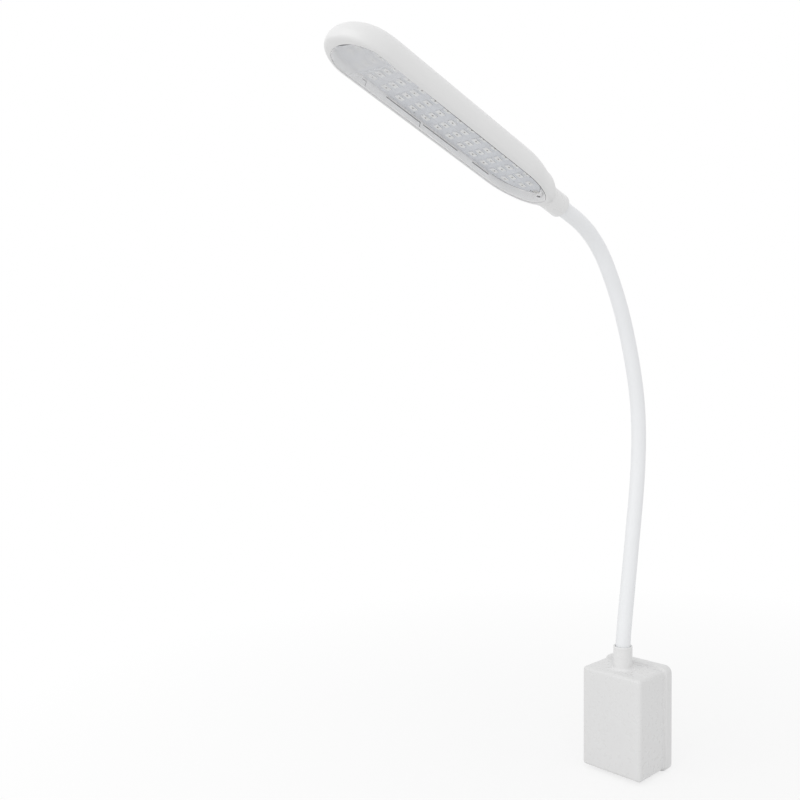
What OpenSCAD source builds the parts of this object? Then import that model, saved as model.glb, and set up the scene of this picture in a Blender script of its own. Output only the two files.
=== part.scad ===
// Plug-in plant grow lamp: wall-plug base with a rocker switch, bendable gooseneck and LED head.
// Millimetres. Origin midway between the plug pins on the rear face, +Y into the wall, +Z up.

/* [Base] */
// Width of the front shell
base_w = 53.5; // [46:0.5:64]
// Depth of the front shell
base_d = 34; // [33:1:48]
// Height of the front shell
base_h = 76; // [72:1:100]
// Wall of the front shell
base_wall = 2; // [1.6:0.1:2.6]
// Radius of the front shell's edges
base_edge = 2.6; // [1:0.1:3]
// Thickness of the rear cover
cover_t = 6; // [5:0.5:9]
// Step from the front shell out to the rear cover's edge
cover_step = 2; // [1.6:0.1:4]
// Corner radius of the rear cover
cover_corner = 5.5; // [3:0.5:8]
// Lap of the cover's lip over the front shell
lip = 2; // [1:0.1:4]
// Height of the collar above the top face
collar_h = 17.6; // [12:0.1:20]
// Wall of the collar
collar_wall = 1.25; // [1:0.05:2]

/* [Plug] */
// Diameter of a plug pin
pin_d = 4; // [3.8:0.1:4.8]
// Length of a plug pin outside the cover
pin_l = 19; // [15:0.5:22]
// Distance between the plug pins
pin_spacing = 19; // [17:0.5:20]
// Diameter of a cover screw
screw_d = 3; // [2.5:0.1:3.5]
// Length of a cover screw under its head
screw_l = 14; // [10:1:18]

/* [Switch] */
// Height of the switch's bezel
bezel_h = 21; // [20:0.5:24]
// Depth of the switch's bezel, front to back
bezel_d = 15; // [14.4:0.1:18]
// How far the bezel stands out from the side
bezel_t = 2; // [1.5:0.1:3]
// Height of the switch's middle above the plug pins
switch_z = 2; // [-6:1:6]
// Depth of the switch's body inside the base
switch_in = 14; // [13:0.5:16]
// Half length of the rocker between its two upper corners
rocker_half = 6.6; // [5.5:0.1:6.8]
// Height of the rocker's corners above its pivot
rocker_top = 4.2; // [3.6:0.1:4.6]
// Tilt of the rocker to either side
rocker_tilt = 12; // [8:1:13]

/* [Gooseneck] */
// Outer diameter of the gooseneck
tube_d = 11.4; // [10.6:0.1:13]
// Wall of the outer sheath
sheath_wall = 1.4; // [1:0.1:1.8]
// Wall of the steel core
core_wall = 1.5; // [1:0.1:1.8]
// Diameter of each wire in the core
wire_d = 1.7; // [1.2:0.1:1.8]
// Length of the curved stretch below the first joint
first_len = 19.6; // [18:0.1:30]
// Length between two joints
link_len = 48; // [36:1:56]
// Turn of each stretch toward the front, in degrees, from the base up
turns = [-9, 0, 0, 8, 15, 9, 13, 35];
// Gap between the ball and the cup of a joint
joint_gap = 0.4; // [0.35:0.05:0.6]

/* [Head] */
// Width of the head
head_w = 39.4; // [38:0.2:48]
// Length of the housing from its neck end to its tip
head_l = 186; // [176:1:216]
// Depth of the housing behind its widest line
head_back = 20.5; // [18:0.5:26]
// Bulge of the housing in front of its widest line
head_front = 3.3; // [2.6:0.1:3.6]
// Length of the rounded nose, seen from the front
nose_l = 27; // [22:1:34]
// Length of the rounded nose, seen from the side
back_nose_l = 35; // [28:1:44]
// Length of the tapered neck end
taper_l = 38; // [30:1:44]
// Half width of the neck end
neck_half = 8.4; // [8.2:0.1:11]
// Wall of the housing
head_wall = 2; // [1.6:0.1:2.6]
// Half width of the window
window_half = 16.4; // [15:0.1:17]
// Outer diameter of the sleeve at the head
sleeve_d = 16.4; // [15.8:0.1:18]
// Length of the sleeve
sleeve_l = 17; // [14:0.5:20]
// Free length of gooseneck between the last joint and the sleeve
neck_free = 15; // [12:0.5:24]
// Thickness of the clear window
lens_t = 0.8; // [0.6:0.1:1]
// Distance from the clear window's back to the LEDs
led_recess = 3.9; // [2:0.1:4.4]
// Thickness of the LED board
board_t = 1.2; // [1:0.1:1.6]
// Rows of four LEDs
led_rows = 13; // [9:2:13]
// Distance between two columns
led_column_pitch = 6.5; // [6:0.1:7]
// Size of one LED across the head
led_w = 3.6; // [2.8:0.1:4]
// Size of one LED along the head
led_l = 5.2; // [2.4:0.1:5.6]
// Height of one LED
led_h = 0.7; // [0.5:0.1:0.9]

/* [Hidden] */
$fn = 64;
slip = 0.15;          // clearance between pieces pushed together by hand
snug = 0.05;          // clearance between pieces pressed or screwed together
tube_gap = 0.35;      // clearance between the gooseneck and the collars around it
eps = 0.5;            // overrun of a cut past the face that it opens

front_y = -(cover_t + base_d);
visible_d = base_d - lip;
middle_y = front_y + visible_d / 2;
top_z = base_h / 2;
side_x = base_w / 2;

sheath_id = tube_d - 2 * sheath_wall;
core_d = sheath_id - 2 * snug;
core_id = core_d - 2 * core_wall;
wire_gap = 0.3;
wire_swell = 0.1;     // extra thickness of a wire at a bend
wire_x = (wire_d + wire_gap) / 2;
ball_step = 0.1;      // step from the tube in to the joint's ball
ball_r = tube_d / 2 - ball_step;
cup_r = ball_r + joint_gap;

// Gooseneck path: [y, z, heading], the heading in degrees from straight up toward the front
bend_start = collar_h - 6.5;
start_frame = [middle_y, top_z + bend_start, 0];
joint_count = len(turns);
function stretch(k) = k == 1 ? first_len : link_len;
function advance(f, l, t) =
    t == 0 ? [f[0] - l * sin(f[2]), f[1] + l * cos(f[2]), f[2]]
    : let (r = l / (t * PI / 180))
      [f[0] + r * (cos(f[2] + t) - cos(f[2])), f[1] + r * (sin(f[2] + t) - sin(f[2])), f[2] + t];
function frame_at(k) = k == 0 ? start_frame : advance(frame_at(k - 1), stretch(k), turns[k - 1]);

// Ferrule at the base end of the gooseneck
ferrule_d = core_d + 2 * 0.7;
ferrule_drop = 14;
flange_t = 2;
nut_t = 4;
nut_af = ferrule_d + 4.4;
collar_id = tube_d + 2 * tube_gap;
collar_d = collar_id + 2 * collar_wall;
collar_rim = 0.6;
collar_foot = 1.6;

// Screws and bosses of the rear cover
boss_d = screw_d + 3.4;
boss_x = side_x - base_wall - boss_d / 2 + 0.6;
boss_z = top_z - base_wall - boss_d / 2 + 0.6;
screw_head_d = 1.9 * screw_d;
screw_head_t = 2;
screw_sink = screw_head_t + 0.4;
cross_w = 0.7;        // width of the cross in a screw's head

// Driver board and what stands on it
post_d = 5;
peg_d = 2.4;
post_l = 8;
driver_w = base_w - 14;
driver_h = base_h - 30;
driver_t = 1.6;
driver_z = -7;
driver_back = -cover_t - post_l;
driver_front = driver_back - driver_t;
post_x = driver_w / 2 - 4;
post_z = driver_h / 2 - 4;
pin_tail = 3.5;
pin_flange = 1.5;
former_inset = 8;     // from the board's side edge to the transformer and what stands below it
can_inset = 10;       // from the other side edge to the large capacitor
fuse_inset = 4;       // from that edge to the fuse
foot_inset = 8;       // from the board's lower edge to the lowest parts
chip_inset = 5;       // from the board's upper edge to the chip
former_size = [14, 12, 16];
winding_size = [10, 3, 10];
big_can = [8, 14];
small_can = [6.3, 11];
rectifier_size = [8, 6.5, 2.6];
choke_d = 7;
choke_core_d = 4;
choke_l = 9;
choke_rim = 1;
fuse_d = 3.6;
fuse_l = 10;
chip_size = [5, 1.5, 4];

// Rocker switch, turned so that it faces -X
pivot_x = -side_x - 0.5;
rocker_r = norm([rocker_half, rocker_top]);
rocker_dip = 0.8;
rocker_under = 3;
opening_half = rocker_r + 0.33;
body_wall = 0.9;
body_h = bezel_h - 2.2;
body_d = bezel_d - 2.2;
opening_d = body_d - 2 * body_wall;
rocker_w = opening_d - 0.6;
pivot_d = 2.4;
pivot_fit = 0.03;
pivot_reach = rocker_w / 2 + 1;
plunger_d = 2.4;
plunger_reach = 7;
plunger_seat = 0.5;
floor_t = 3;
floor_x = -side_x + switch_in - floor_t;
lever_gap = 0.35;
lever_t = 0.8;
lever_half = 5;
lever_w = 4;
lever_ratio = 0.5;
lever_x = pivot_x + plunger_reach + lever_gap + lever_t;
fulcrum_r = 0.5;
fulcrum_gap = 0.12;
tab_w = 4.8;
tab_t = 0.8;
tab_l = 8;
tab_drop = 6;

// Head, in the frame of the last joint: Z along the head to its tip, -Y out of the window
sleeve_z = neck_free;
housing_z = sleeve_z + sleeve_l;
tip_z = housing_z + head_l;
window_y = -8;
widest_y = window_y + head_front;
end_wall = 5;
cavity_z = housing_z + end_wall;
cavity_y = window_y + 4;
spigot_d = sleeve_d - 4.2;
ferrule_z = sleeve_z + 5;
spigot_l = housing_z - ferrule_z - tube_gap;
ferrule_end = housing_z + 2;
upper_ferrule_d = core_d + 2.1;
wire_hole_d = core_d - 0.6;
grub_d = 3;
grub_z = ferrule_z + 5;
grub_sink = 0.4;

tray_wall = 0.6;      // wall of the tray's rim
rim_tip = 5.9;        // width of the rim at the tip
rim_end = 4;          // width of the rim at the neck end
window_tip = tip_z - rim_tip;
window_nose = window_half;
window_end = housing_z + rim_end;
window_taper = 35;
window_end_half = 1;
led_top_y = window_y + lens_t + led_recess;
board_y = led_top_y + led_h;
pad_t = 0.4;
pad_y = board_y + board_t;
tray_y = pad_y + pad_t;
tray_t = 1.6;
lens_seat = 0.1;
board_half = window_half - tray_wall - 2 * slip;
board_tip = window_tip - 2 * tray_wall;
board_nose = board_half;
board_v = 30;
board_end_half = 2;
board_end = window_end + 4.4;
board_drop = board_half - board_end_half;
board_arc = (board_v * board_v + board_drop * board_drop) / (2 * board_drop);
notch_d = 5;
notch_z = board_end - 1;
led_tip_margin = 9.4;  // from the board's tip to the middle of the first LEDs
led_end_margin = 12.4; // from the board's neck end to the middle of the last LEDs
led_first = board_tip - led_tip_margin;
led_last = board_end + led_end_margin;
led_middle = (led_first + led_last) / 2;
led_row_pitch = (led_first - led_last) / (led_rows + 1);
tray_post_d = 4.4;
tray_post_x = head_w / 4;
tray_post_inset = 8;
tray_screw_d = 2;
tray_screw_l = 6;
tray_screw_head = 3.6;
tray_screw_head_t = 1;
tray_post_reach = widest_y
    + (head_back - head_wall / 2) * sqrt(1 - pow(tray_post_x / (head_w - head_wall) * 2, 2));
wire_bend_z = cavity_z + 2;
head_wire_d = 0.7;
solder_z = notch_z + notch_d / 2 + 2;

// Shared shapes

// Plate between two Y values from an outline drawn in X and Z
module slab(y0, y1) translate([0, y1, 0]) rotate([90, 0, 0]) linear_extrude(y1 - y0) children();

// Cylinder along +Y from y0 to y1
module rod(d, y0, y1) translate([0, y1, 0]) rotate([90, 0, 0]) cylinder(d = d, h = y1 - y0);

module rounded_rect(w, h, r) {
    square([w - 2 * r, h], center = true);
    square([w, h - 2 * r], center = true);
    for (x = [-1, 1], y = [-1, 1]) translate([x * (w / 2 - r), y * (h / 2 - r)]) circle(r);
}

module corners(x, z) for (i = [-1, 1], j = [-1, 1]) translate([i * x, 0, j * z]) children();

// Insulated wire through a list of points
module wire(points, d) {
    for (i = [0:len(points) - 2]) {
        run = points[i + 1] - points[i];
        translate(points[i])
            rotate([0, acos(run[2] / norm(run)), atan2(run[1], run[0])])
                cylinder(d = d, h = norm(run));
    }
    for (i = [1:1:len(points) - 2]) translate(points[i]) sphere(d = d + wire_swell);
}

// Base

module base_outline() rounded_rect(base_w, base_h, base_edge);

module base_front_shell() color("whitesmoke") {
    difference() {
        union() {
            difference() {
                intersection() {
                    slab(front_y, -cover_t) base_outline();
                    translate([0, (front_y - cover_t) / 2, -base_h / 2]) linear_extrude(base_h) {
                        rounded_rect(base_w, base_d, base_edge);
                        translate([0, base_d / 4]) square([base_w, base_d / 2], center = true);
                    }
                }
                translate([0, (front_y + base_wall + eps - cover_t) / 2, 0])
                    cube([base_w - 2 * base_wall, base_d - base_wall + eps, base_h - 2 * base_wall],
                         center = true);
            }
            corners(boss_x, boss_z) rod(boss_d, front_y + base_wall / 2, -cover_t);
            translate([0, middle_y, top_z - base_wall / 2]) collar();
        }
        corners(boss_x, boss_z) rod(screw_d + 2 * snug, -cover_t - screw_l, -cover_t + eps);
        translate([0, middle_y, top_z]) cylinder(d = collar_id, h = collar_h + eps);
        translate([0, middle_y, top_z - base_wall - eps])
            cylinder(d = ferrule_d + 2 * slip, h = base_wall + 2 * eps);
        translate([-side_x, middle_y, switch_z])
            cube([4 * base_wall, body_d + 2 * slip, body_h + 2 * slip], center = true);
    }
}

// Round collar with a flared foot and a rounded rim
module collar() rotate_extrude() {
    height = collar_h + base_wall / 2;
    square([collar_d / 2, height - collar_rim]);
    square([collar_d / 2 - collar_rim, height]);
    translate([collar_d / 2 - collar_rim, height - collar_rim]) circle(collar_rim);
    foot = base_wall / 2;
    polygon([[0, 0], [collar_d / 2 + collar_foot, 0], [collar_d / 2 + collar_foot, foot],
             [collar_d / 2, foot + collar_foot], [0, foot + collar_foot]]);
}

module cover_outline() rounded_rect(base_w + 2 * cover_step, base_h + 2 * cover_step, cover_corner);

module base_rear_cover() color("gainsboro") difference() {
    union() {
        slab(-cover_t, 0) cover_outline();
        slab(-cover_t - lip, -cover_t) difference() {
            cover_outline();
            rounded_rect(base_w + 2 * slip, base_h + 2 * slip, base_edge);
        }
        translate([0, 0, driver_z]) corners(post_x, post_z) {
            rod(post_d, driver_back, -cover_t);
            rod(peg_d, driver_front - 1, driver_back);
        }
    }
    corners(boss_x, boss_z) {
        rod(screw_d + 2 * slip, -cover_t - eps, eps);
        rod(screw_head_d + 2 * slip, -screw_sink, eps);
    }
    for (i = [-1, 1]) translate([i * pin_spacing / 2, 0, 0])
        rod(pin_d + 2 * snug, -cover_t - eps, eps);
}

module cover_screws() color("silver") corners(boss_x, boss_z) difference() {
    union() {
        rod(screw_d, -cover_t - screw_l + 1, -screw_sink);
        rod(screw_head_d, -screw_sink, -screw_sink + screw_head_t);
    }
    for (turn = [0, 90]) rotate([0, turn, 0])
        translate([0, -screw_sink + screw_head_t, 0])
            cube([0.6 * screw_head_d, screw_head_t, cross_w], center = true);
}

module plug_pins() color("gold") for (i = [-1, 1]) translate([i * pin_spacing / 2, 0, 0]) {
    rod(pin_d, -cover_t - pin_tail, pin_l - pin_d / 2);
    translate([0, pin_l - pin_d / 2, 0]) sphere(d = pin_d);
    rod(pin_d + 2, -cover_t - pin_flange, -cover_t);
}

module driver_board() color("seagreen") translate([0, 0, driver_z]) difference() {
    slab(driver_front, driver_back) square([driver_w, driver_h], center = true);
    corners(post_x, post_z) rod(peg_d + 2 * snug, driver_front - eps, driver_back + eps);
}

// Parts on the front of the driver board, placed from its middle
module on_driver(x, z) translate([x, driver_front, driver_z + z]) children();

module block(size) translate([-size[0] / 2, -size[1], -size[2] / 2]) cube(size);

module transformer() color("darkgoldenrod") on_driver(driver_w / 2 - former_inset, 7) {
    block(former_size);
    translate([0, -former_size[1], 0]) block(winding_size);
}

module capacitors() color("midnightblue") {
    on_driver(can_inset - driver_w / 2, foot_inset - driver_h / 2) rod(big_can[0], -big_can[1], 0);
    on_driver(0, foot_inset - driver_h / 2 + 2) rod(small_can[0], -small_can[1], 0);
}

module rectifier() color("dimgray") on_driver(driver_w / 2 - former_inset, -7) block(rectifier_size);

module choke() color("saddlebrown") on_driver(driver_w / 2 - former_inset, foot_inset - driver_h / 2) {
    rod(choke_d, -choke_rim, 0);
    rod(choke_core_d, -choke_l + choke_rim, -choke_rim);
    rod(choke_d, -choke_l, -choke_l + choke_rim);
}

module fuse() color("lightgray") on_driver(fuse_inset - driver_w / 2, -6)
    translate([0, -fuse_d / 2, -fuse_l / 2]) cylinder(d = fuse_d, h = fuse_l);

module driver_chip() color("black") on_driver(0, driver_h / 2 - chip_inset) block(chip_size);

// Live pin to the switch, neutral pin to the board, and the switch to the board
module mains_wires() color("firebrick") {
    tail = -cover_t - pin_tail;
    level = tail - wire_d / 2;
    tab_x = floor_x + floor_t + tab_l - wire_d;
    live = -pin_spacing / 2;
    over = driver_z + driver_h / 2 + 3;
    under = switch_z - tab_drop - 4;
    wire([[live, tail, 0], [live, level, 0], [live, level, over], [live, middle_y + 4, over],
          [tab_x, middle_y, over - 6], [tab_x, middle_y, switch_z + tab_t / 2]], wire_d);
    wire([[-live, tail, 0], [-live, level, 0], [-live, level, driver_z - 6],
          [-live, driver_back, driver_z - 6]], wire_d);
    wire([[tab_x, middle_y, switch_z - tab_drop - tab_t / 2], [tab_x, middle_y, under],
          [tab_x, driver_front, under]], wire_d);
}

module output_wires() color("ivory") for (i = [-1, 1]) {
    low = top_z - ferrule_drop;
    wire([[i * wire_x, driver_front, driver_z + 13], [i * wire_x, driver_front - 3, driver_z + 13],
          [i * wire_x, middle_y, low - 6], [i * wire_x, middle_y, low]], wire_d);
}

// Rocker switch

// Turns an outline drawn with X up the switch and Y outward so that it faces -X
module face_left(w) rotate([90, -90, 0]) linear_extrude(w, center = true) children();

module at_pivot() translate([pivot_x, middle_y, switch_z]) children();

module switch_body() color("black") {
    difference() {
        union() {
            translate([-side_x - bezel_t, middle_y, switch_z]) rotate([0, 90, 0])
                linear_extrude(bezel_t) rounded_rect(bezel_h, bezel_d, 1);
            translate([-side_x, middle_y - body_d / 2, switch_z - body_h / 2])
                cube([switch_in, body_d, body_h]);
        }
        translate([-side_x - bezel_t - eps, middle_y - opening_d / 2, switch_z - opening_half])
            cube([floor_x + side_x + bezel_t + eps, opening_d, 2 * opening_half]);
        at_pivot() rotate([90, 0, 0]) cylinder(d = pivot_d + 2 * pivot_fit, h = body_d - 0.4, center = true);
        for (drop = [0, tab_drop]) tab(drop, floor_x - eps, floor_x + floor_t + eps, snug);
    }
}

module tab(drop, x0, x1, room = 0)
    translate([x0, middle_y - tab_w / 2 - room, switch_z - drop - tab_t / 2 - room])
        cube([x1 - x0, tab_w + 2 * room, tab_t + 2 * room]);

module switch_terminals() color("goldenrod") {
    for (drop = [0, tab_drop]) tab(drop, floor_x - 0.8, floor_x + floor_t + tab_l);
    fulcrum_x = lever_x + fulcrum_r + fulcrum_gap;
    translate([fulcrum_x, middle_y, switch_z]) rotate([90, 0, 0])
        cylinder(r = fulcrum_r, h = lever_w, center = true);
    translate([fulcrum_x, middle_y - lever_w / 2, switch_z - fulcrum_r])
        cube([floor_x - fulcrum_x, lever_w, 2 * fulcrum_r]);
    contact_x = lever_x + lever_half * sin(rocker_tilt * lever_ratio) + 0.4;
    translate([contact_x, middle_y, switch_z - lever_half + 0.6]) rotate([0, 90, 0])
        cylinder(d = 2, h = floor_x - contact_x);
    translate([floor_x - 0.8, middle_y - 1, switch_z - tab_drop]) cube([0.8, 2, tab_drop - lever_half + 1.6]);
}

module rocker() color([0.08, 0.08, 0.09]) at_pivot() rotate([0, rocker_tilt, 0]) difference() {
    union() {
        face_left(rocker_w) intersection() {
            circle(rocker_r);
            polygon([[-rocker_r, -rocker_under], [rocker_r, -rocker_under], [rocker_r, rocker_top],
                     [rocker_half, rocker_top], [0, rocker_top - rocker_dip], [-rocker_half, rocker_top],
                     [-rocker_r, rocker_top]]);
        }
        rotate([90, 0, 0]) cylinder(d = pivot_d, h = 2 * pivot_reach, center = true);
    }
    rotate([0, 90, 0]) cylinder(d = plunger_d + 2 * snug, h = rocker_under + eps);
}

module rocker_plunger() color("lightsteelblue") at_pivot() rotate([0, rocker_tilt, 0]) rotate([0, 90, 0]) {
    translate([0, 0, plunger_seat]) cylinder(d = plunger_d, h = plunger_reach - plunger_d / 2 - plunger_seat);
    translate([0, 0, plunger_reach - plunger_d / 2]) sphere(d = plunger_d);
}

module contact_lever() color("goldenrod") translate([lever_x, middle_y, switch_z])
    rotate([0, -rocker_tilt * lever_ratio, 0])
        translate([-lever_t, -lever_w / 2, -lever_half]) cube([lever_t, lever_w, 2 * lever_half]);

// Gooseneck

module at_frame(k) translate([0, frame_at(k)[0], frame_at(k)[1]]) rotate([frame_at(k)[2], 0, 0]) children();

// Sweeps an outline along a stretch that turns toward -Y by t degrees
module sweep(l, t) {
    if (t == 0) linear_extrude(l) children();
    else {
        r = l / (abs(t) * PI / 180);
        mirror([0, t > 0 ? 0 : 1, 0]) translate([0, -r, 0]) rotate(a = 120, v = [1, 1, 1])
            rotate_extrude(angle = abs(t)) translate([r, 0]) rotate(90) children();
    }
}

// Sweep that runs on past the joint at its upper end
module long_sweep(k) sweep(stretch(k) + ball_r, turns[k - 1] * (stretch(k) + ball_r) / stretch(k)) children();

// Everything above a joint that lies outside its ball
module past_ball(k) at_frame(k) difference() {
    translate([-tube_d, -tube_d, 0]) cube([2 * tube_d, 2 * tube_d, tube_d]);
    rotate([0, 90, 0]) sphere(ball_r);
}

// One stretch of the gooseneck: 0 stands in the base, the last one sits in the head
module neck_stretch(k, base_z, head_end) difference() {
    union() {
        if (k == 0) translate([0, middle_y, base_z]) linear_extrude(start_frame[1] - base_z) children();
        if (k < joint_count) at_frame(k) long_sweep(k + 1) children();
        else at_frame(k) linear_extrude(head_end) children();
    }
    if (k > 0) at_frame(k) rotate([0, 90, 0]) sphere(cup_r);
    if (k < joint_count) past_ball(k + 1);
}

module neck_sheath(k) color("white") neck_stretch(k, top_z + flange_t, ferrule_z) difference() {
    circle(d = tube_d);
    circle(d = sheath_id);
}

module neck_core(k) color("slategray") neck_stretch(k, top_z - ferrule_drop, ferrule_end) difference() {
    circle(d = core_d);
    circle(d = core_id);
}

module neck_wires(k) color("ivory") for (i = [-1, 1])
    neck_stretch(k, top_z - ferrule_drop, wire_bend_z) translate([i * wire_x, 0]) circle(d = wire_d);

module lower_ferrule() color("silver") translate([0, middle_y, top_z - ferrule_drop]) difference() {
    union() {
        cylinder(d = ferrule_d, h = ferrule_drop);
        translate([0, 0, ferrule_drop]) cylinder(d = collar_id - 2 * slip, h = flange_t);
    }
    translate([0, 0, -eps]) cylinder(d = core_d + 2 * snug, h = ferrule_drop + flange_t + 2 * eps);
}

module lower_nut() color("silver") translate([0, middle_y, top_z - base_wall - nut_t]) difference() {
    cylinder(d = nut_af / cos(30), h = nut_t, $fn = 6);
    translate([0, 0, -eps]) cylinder(d = ferrule_d + 2 * snug, h = nut_t + 2 * eps);
}

// Head

module at_head() at_frame(joint_count) children();

// Rounded sleeve over the housing's spigot
module neck_sleeve() color("white") at_head() translate([0, 0, sleeve_z]) rotate_extrude() difference() {
    union() {
        round_r = 2;
        translate([0, round_r]) square([sleeve_d / 2, sleeve_l - round_r]);
        square([sleeve_d / 2 - round_r, round_r]);
        translate([sleeve_d / 2 - round_r, round_r]) circle(round_r);
    }
    translate([0, -eps]) square([collar_id / 2, sleeve_l + 2 * eps]);
    translate([0, sleeve_l - spigot_l]) square([spigot_d / 2 + slip, spigot_l + eps]);
}

module upper_ferrule() color("silver") at_head() difference() {
    translate([0, 0, ferrule_z]) cylinder(d = upper_ferrule_d, h = ferrule_end - ferrule_z);
    translate([0, 0, ferrule_z - eps]) cylinder(d = core_d + 2 * snug, h = ferrule_end - ferrule_z + 2 * eps);
    translate([0, 0, grub_z]) rod(grub_d + 2 * slip, upper_ferrule_d / 2 - grub_sink, upper_ferrule_d);
}

module neck_screw() color("silver") at_head() translate([0, 0, grub_z]) difference() {
    rod(grub_d, upper_ferrule_d / 2 - grub_sink, spigot_d / 2 - 0.1);
    rod(1.3, spigot_d / 2 - 0.6, spigot_d);
}

// Share of the full size, from 1 down to 0, at part t of a rounded end
function round_off(t) = sqrt(max(0, 1 - t * t));

// Share left of the head's size at height z: nose with a rounded end of length l, and taper at the neck end
function nose_share(z, l) = round_off(max(0, (z - (tip_z - l)) / l));
function taper_share(z) = round_off(max(0, min(1, (housing_z + taper_l - z) / taper_l)));
neck_back = sleeve_d / 2 - widest_y;
taper_power = 1.6;    // 0.5 is an elliptical plan of the neck end, more is more pointed
end_round = 5;        // length over which the front rounds off at the neck end
end_front = 0.35;     // share of the front's bulge left at the very end
function half_at(z) = (neck_half + (head_w / 2 - neck_half) * pow(taper_share(z), 2 * taper_power))
    * nose_share(z, nose_l);
function back_at(z) = (neck_back + (head_back - neck_back) * taper_share(z)) * nose_share(z, back_nose_l);
function front_at(z) = head_front * pow(nose_share(z, nose_l), 0.25)
    * (end_front + (1 - end_front) * round_off(max(0, 1 - (z - housing_z) / end_round)));

arch_steps = 20;
rim_steps = 7;
rim_square = 0.8;     // 1 is an elliptical rim, less is squarer
end_steps = 10;
nose_stop = 86;
nose_z = tip_z - max(nose_l, back_nose_l);
// Heights of the cross sections: close together in the taper and in the nose
function section_heights(low, high) = concat(
    [for (i = [0:end_steps]) let (z = housing_z + taper_l * (1 - cos(90 * i / end_steps)))
        if (z > low + 0.2) z],
    [for (i = [0:end_steps]) nose_z + (high - nose_z) * sin(nose_stop * i / end_steps)]);

// Point of the rim, from the widest line (step 0) to the flat front
function rim_point(z, side, step) =
    let (a = 90 * step / rim_steps, rim = min(0.9 * half_at(z), head_w / 2 - window_half))
    [side * (half_at(z) - rim * (1 - pow(cos(a), rim_square))),
     widest_y - front_at(z) * pow(sin(a), rim_square), z];

// Arched back, flat front with a rounded rim
function outer_section(z) = concat(
    [for (i = [0:arch_steps - 1]) let (a = 180 * i / arch_steps)
        [half_at(z) * cos(a), widest_y + back_at(z) * sin(a), z]],
    [for (i = [0:rim_steps]) rim_point(z, -1, i)],
    [for (i = [rim_steps:-1:1]) rim_point(z, 1, i)]);

// Arched cavity with a flat floor
function inner_section(z) = [for (i = [0:arch_steps]) let (a = 180 * i / arch_steps)
    [(half_at(z) - head_wall) * cos(a),
     cavity_y + (back_at(z) - head_wall - cavity_y + widest_y) * sin(a), z]];

// Solid through cross sections that have the same number of points
module loft(sections) {
    n = len(sections[0]);
    last = len(sections) - 1;
    sides = [for (i = [0:last - 1], j = [0:n - 1]) let (a = i * n + j, b = i * n + (j + 1) % n)
        each [[a, a + n, b], [b, a + n, b + n]]];
    polyhedron([for (s = sections) each s],
               concat(sides, [[for (j = [0:n - 1]) j]], [[for (j = [n - 1:-1:0]) last * n + j]]));
}

// Outline of the window, drawn with Y along the head
outline_steps = 24;
module window_outline(inset = 0) {
    half = window_half - inset;
    nose = window_nose - inset;
    low = window_end + inset;
    end_half = window_end_half - inset / 2;
    right = concat(
        [for (i = [0:outline_steps / 2]) let (a = 90 * i / (outline_steps / 2))
            [end_half + (half - end_half) * sin(a), low + window_taper * (1 - cos(a))]],
        [for (i = [0:outline_steps - 1]) let (a = 90 * i / outline_steps)
            [half * cos(a), window_tip - window_nose + nose * sin(a)]]);
    mirrored(right, window_tip - window_nose + nose);
}

// Outline from its right half, its apex and the mirrored left half
module mirrored(right, apex)
    polygon(concat(right, [[0, apex]], [for (i = [len(right) - 1:-1:0]) [-right[i][0], right[i][1]]]));

// Outline of the LED board: rounded tip, and a pointed arch at the neck end
module board_outline() {
    right = concat(
        [for (i = [0:outline_steps / 2]) let (a = asin(board_v / board_arc) * (1 - 2 * i / outline_steps))
            [board_half - board_arc * (1 - cos(a)), board_end + board_v - board_arc * sin(a)]],
        [for (i = [0:outline_steps - 1]) let (a = 90 * i / outline_steps)
            [board_half * cos(a), board_tip - board_nose + board_nose * sin(a)]]);
    mirrored(right, board_tip);
}

// Places of the tray's posts and screws
module tray_posts() {
    low = board_end + board_v + tray_post_inset;
    high = board_tip - board_nose - tray_post_inset;
    for (i = [-1, 1], z = [low, led_middle, high]) translate([i * tray_post_x, 0, z]) children();
}

module head_housing() color("white") at_head() difference() {
    union() {
        difference() {
            loft([for (z = section_heights(housing_z - 1, tip_z)) outer_section(z)]);
            loft([for (z = concat([cavity_z], section_heights(cavity_z, tip_z - head_wall)))
                inner_section(z)]);
        }
        tray_posts() rod(tray_post_d, tray_y + tray_t, tray_post_reach);
        translate([0, 0, housing_z - spigot_l]) cylinder(d = spigot_d, h = spigot_l + 1);
    }
    slab(window_y - eps - head_front, tray_y + tray_t + slip) window_outline();
    tray_posts() rod(tray_screw_d + 2 * snug, tray_y, tray_y + tray_screw_l + eps);
    translate([0, 0, housing_z - spigot_l - eps])
        cylinder(d = upper_ferrule_d + 2 * snug, h = ferrule_end - housing_z + spigot_l + eps);
    cylinder(d = wire_hole_d, h = cavity_z + eps);
    translate([0, 0, grub_z]) rod(grub_d + 2 * snug, 0, spigot_d);
}

// Way for the wires from the gooseneck's end to the front of the LED board
module wire_way(y0, y1) {
    cylinder(d = wire_hole_d, h = notch_z);
    translate([0, 0, notch_z]) rod(notch_d, y0 - eps, y1 + eps);
}

// Dish behind the window: a floor for the board and a rim up to the window
module led_tray() color("gainsboro") at_head() difference() {
    union() {
        slab(tray_y, tray_y + tray_t) window_outline(slip);
        slab(window_y + lens_t + lens_seat, tray_y) difference() {
            window_outline(slip);
            window_outline(slip + tray_wall);
        }
    }
    tray_posts() {
        rod(tray_screw_d + 2 * slip, tray_y - eps, tray_y + tray_t + eps);
        rod(tray_screw_head + 2 * slip, tray_y - eps, tray_y + tray_screw_head_t);
    }
    wire_way(tray_y, tray_y + tray_t);
}

module tray_screws() color("silver") at_head() tray_posts() {
    rod(tray_screw_head, tray_y, tray_y + tray_screw_head_t);
    rod(tray_screw_d, tray_y + tray_screw_head_t, tray_y + tray_screw_l);
}

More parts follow.
